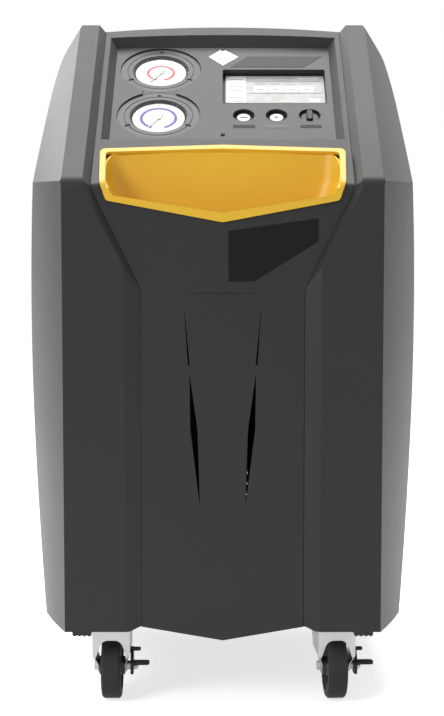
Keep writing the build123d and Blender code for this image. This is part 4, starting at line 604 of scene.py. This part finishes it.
def aim(thing, target):
    direction = Vector(target) - thing.location
    thing.rotation_euler = direction.to_track_quat("-Z", "Y").to_euler()


def softbox(name, place, target, width, height, power):
    lamp = bpy.data.lights.new(name, "AREA")
    lamp.shape = "RECTANGLE"
    lamp.size = width
    lamp.size_y = height
    lamp.energy = power
    holder = bpy.data.objects.new(name, lamp)
    bpy.context.scene.collection.objects.link(holder)
    holder.location = place
    aim(holder, target)
    return holder


def build_camera():
    view = bpy.data.cameras.new("photo_camera")
    view.lens = CAMERA_LENS
    view.sensor_width = 36.0
    view.shift_x = CAMERA_SHIFT
    view.clip_end = 50.0
    holder = bpy.data.objects.new("photo_camera", view)
    bpy.context.scene.collection.objects.link(holder)
    holder.location = (0, FRONT_Y - CAMERA_DISTANCE, CAMERA_HEIGHT)
    holder.rotation_euler = (pi / 2 - CAMERA_PITCH, 0, 0)
    bpy.context.scene.camera = holder


def background_rays(tree):
    """One where a ray comes from the camera, a gloss or a window, and nought elsewhere."""
    path = add(tree, "ShaderNodeLightPath")
    first = add(tree, "ShaderNodeMath", operation="MAXIMUM")
    link(tree, path.outputs["Is Camera Ray"], first.inputs[0])
    link(tree, path.outputs["Is Glossy Ray"], first.inputs[1])
    both = add(tree, "ShaderNodeMath", operation="MAXIMUM")
    link(tree, first.outputs[0], both.inputs[0])
    link(tree, path.outputs["Is Transmission Ray"], both.inputs[1])
    return both


def build_world():
    """Even light from all round, white where the background is seen."""
    world = bpy.data.worlds.new("studio")
    bpy.context.scene.world = world
    world.use_nodes = True
    tree = world.node_tree
    backdrop = tree.nodes["Background"]
    backdrop.inputs["Color"].default_value = (1, 1, 1, 1)
    level = add(tree, "ShaderNodeMapRange")
    level.inputs["To Min"].default_value = WORLD_LEVEL
    level.inputs["To Max"].default_value = 1.0
    link(tree, background_rays(tree).outputs[0], level.inputs["Value"])
    link(tree, level.outputs["Result"], backdrop.inputs["Strength"])


def build_floor():
    """Plain pale floor that stays white to the camera and keeps the shadow."""
    shape = bmesh.new()
    bmesh.ops.create_grid(shape, x_segments=2, y_segments=2, size=FLOOR_HALF)
    mesh = bpy.data.meshes.new("floor")
    shape.to_mesh(mesh)
    shape.free()
    floor = bpy.data.objects.new("floor", mesh)
    bpy.context.scene.collection.objects.link(floor)
    material, tree, shader = new_material("pale_floor", 0.9, Specular_IOR_Level=0.0)
    shader.inputs["Base Color"].default_value = (0.85, 0.85, 0.85, 1)
    glow = add(tree, "ShaderNodeEmission")
    level = add(tree, "ShaderNodeMath", operation="MULTIPLY")
    level.inputs[1].default_value = FLOOR_GLOW
    both = add(tree, "ShaderNodeAddShader")
    link(tree, background_rays(tree).outputs[0], level.inputs[0])
    link(tree, level.outputs[0], glow.inputs["Strength"])
    link(tree, shader.outputs[0], both.inputs[0])
    link(tree, glow.outputs[0], both.inputs[1])
    link(tree, both.outputs[0], tree.nodes["Material Output"].inputs["Surface"])
    mesh.materials.append(material)


def build_studio():
    """Camera, background and three soft lamps: overhead, behind on the left, and in front on the left."""
    build_camera()
    build_world()
    build_floor()
    softbox("top_softbox", (0.0, 0.25, 3.0), (0, 0.0, 0.9), 2.0, 1.7, 62)
    softbox("rear_left_softbox", (-1.9, 1.7, 2.3), (0, 0, 0.9), 1.4, 1.4, 30)
    softbox("front_left_softbox", (-2.3, -2.5, 2.2), (0, 0, 0.6), 1.4, 1.4, 55)
    settings = bpy.context.scene.view_settings
    settings.view_transform = "Standard"


dress_nodes()
print_dial("high_dial", HIGH_T, RED_PRINT, 0.0210, 0.0042, 34, ("0", "5", "10", "15", "20", "25", "30"))
print_dial("low_dial", LOW_T, BLUE_PRINT, 0.0272, 0.0046, 42, ("0", "2", "4", "6", "8", "10", "12"))
build_screen()
build_labels()
build_control_marks()
build_studio()
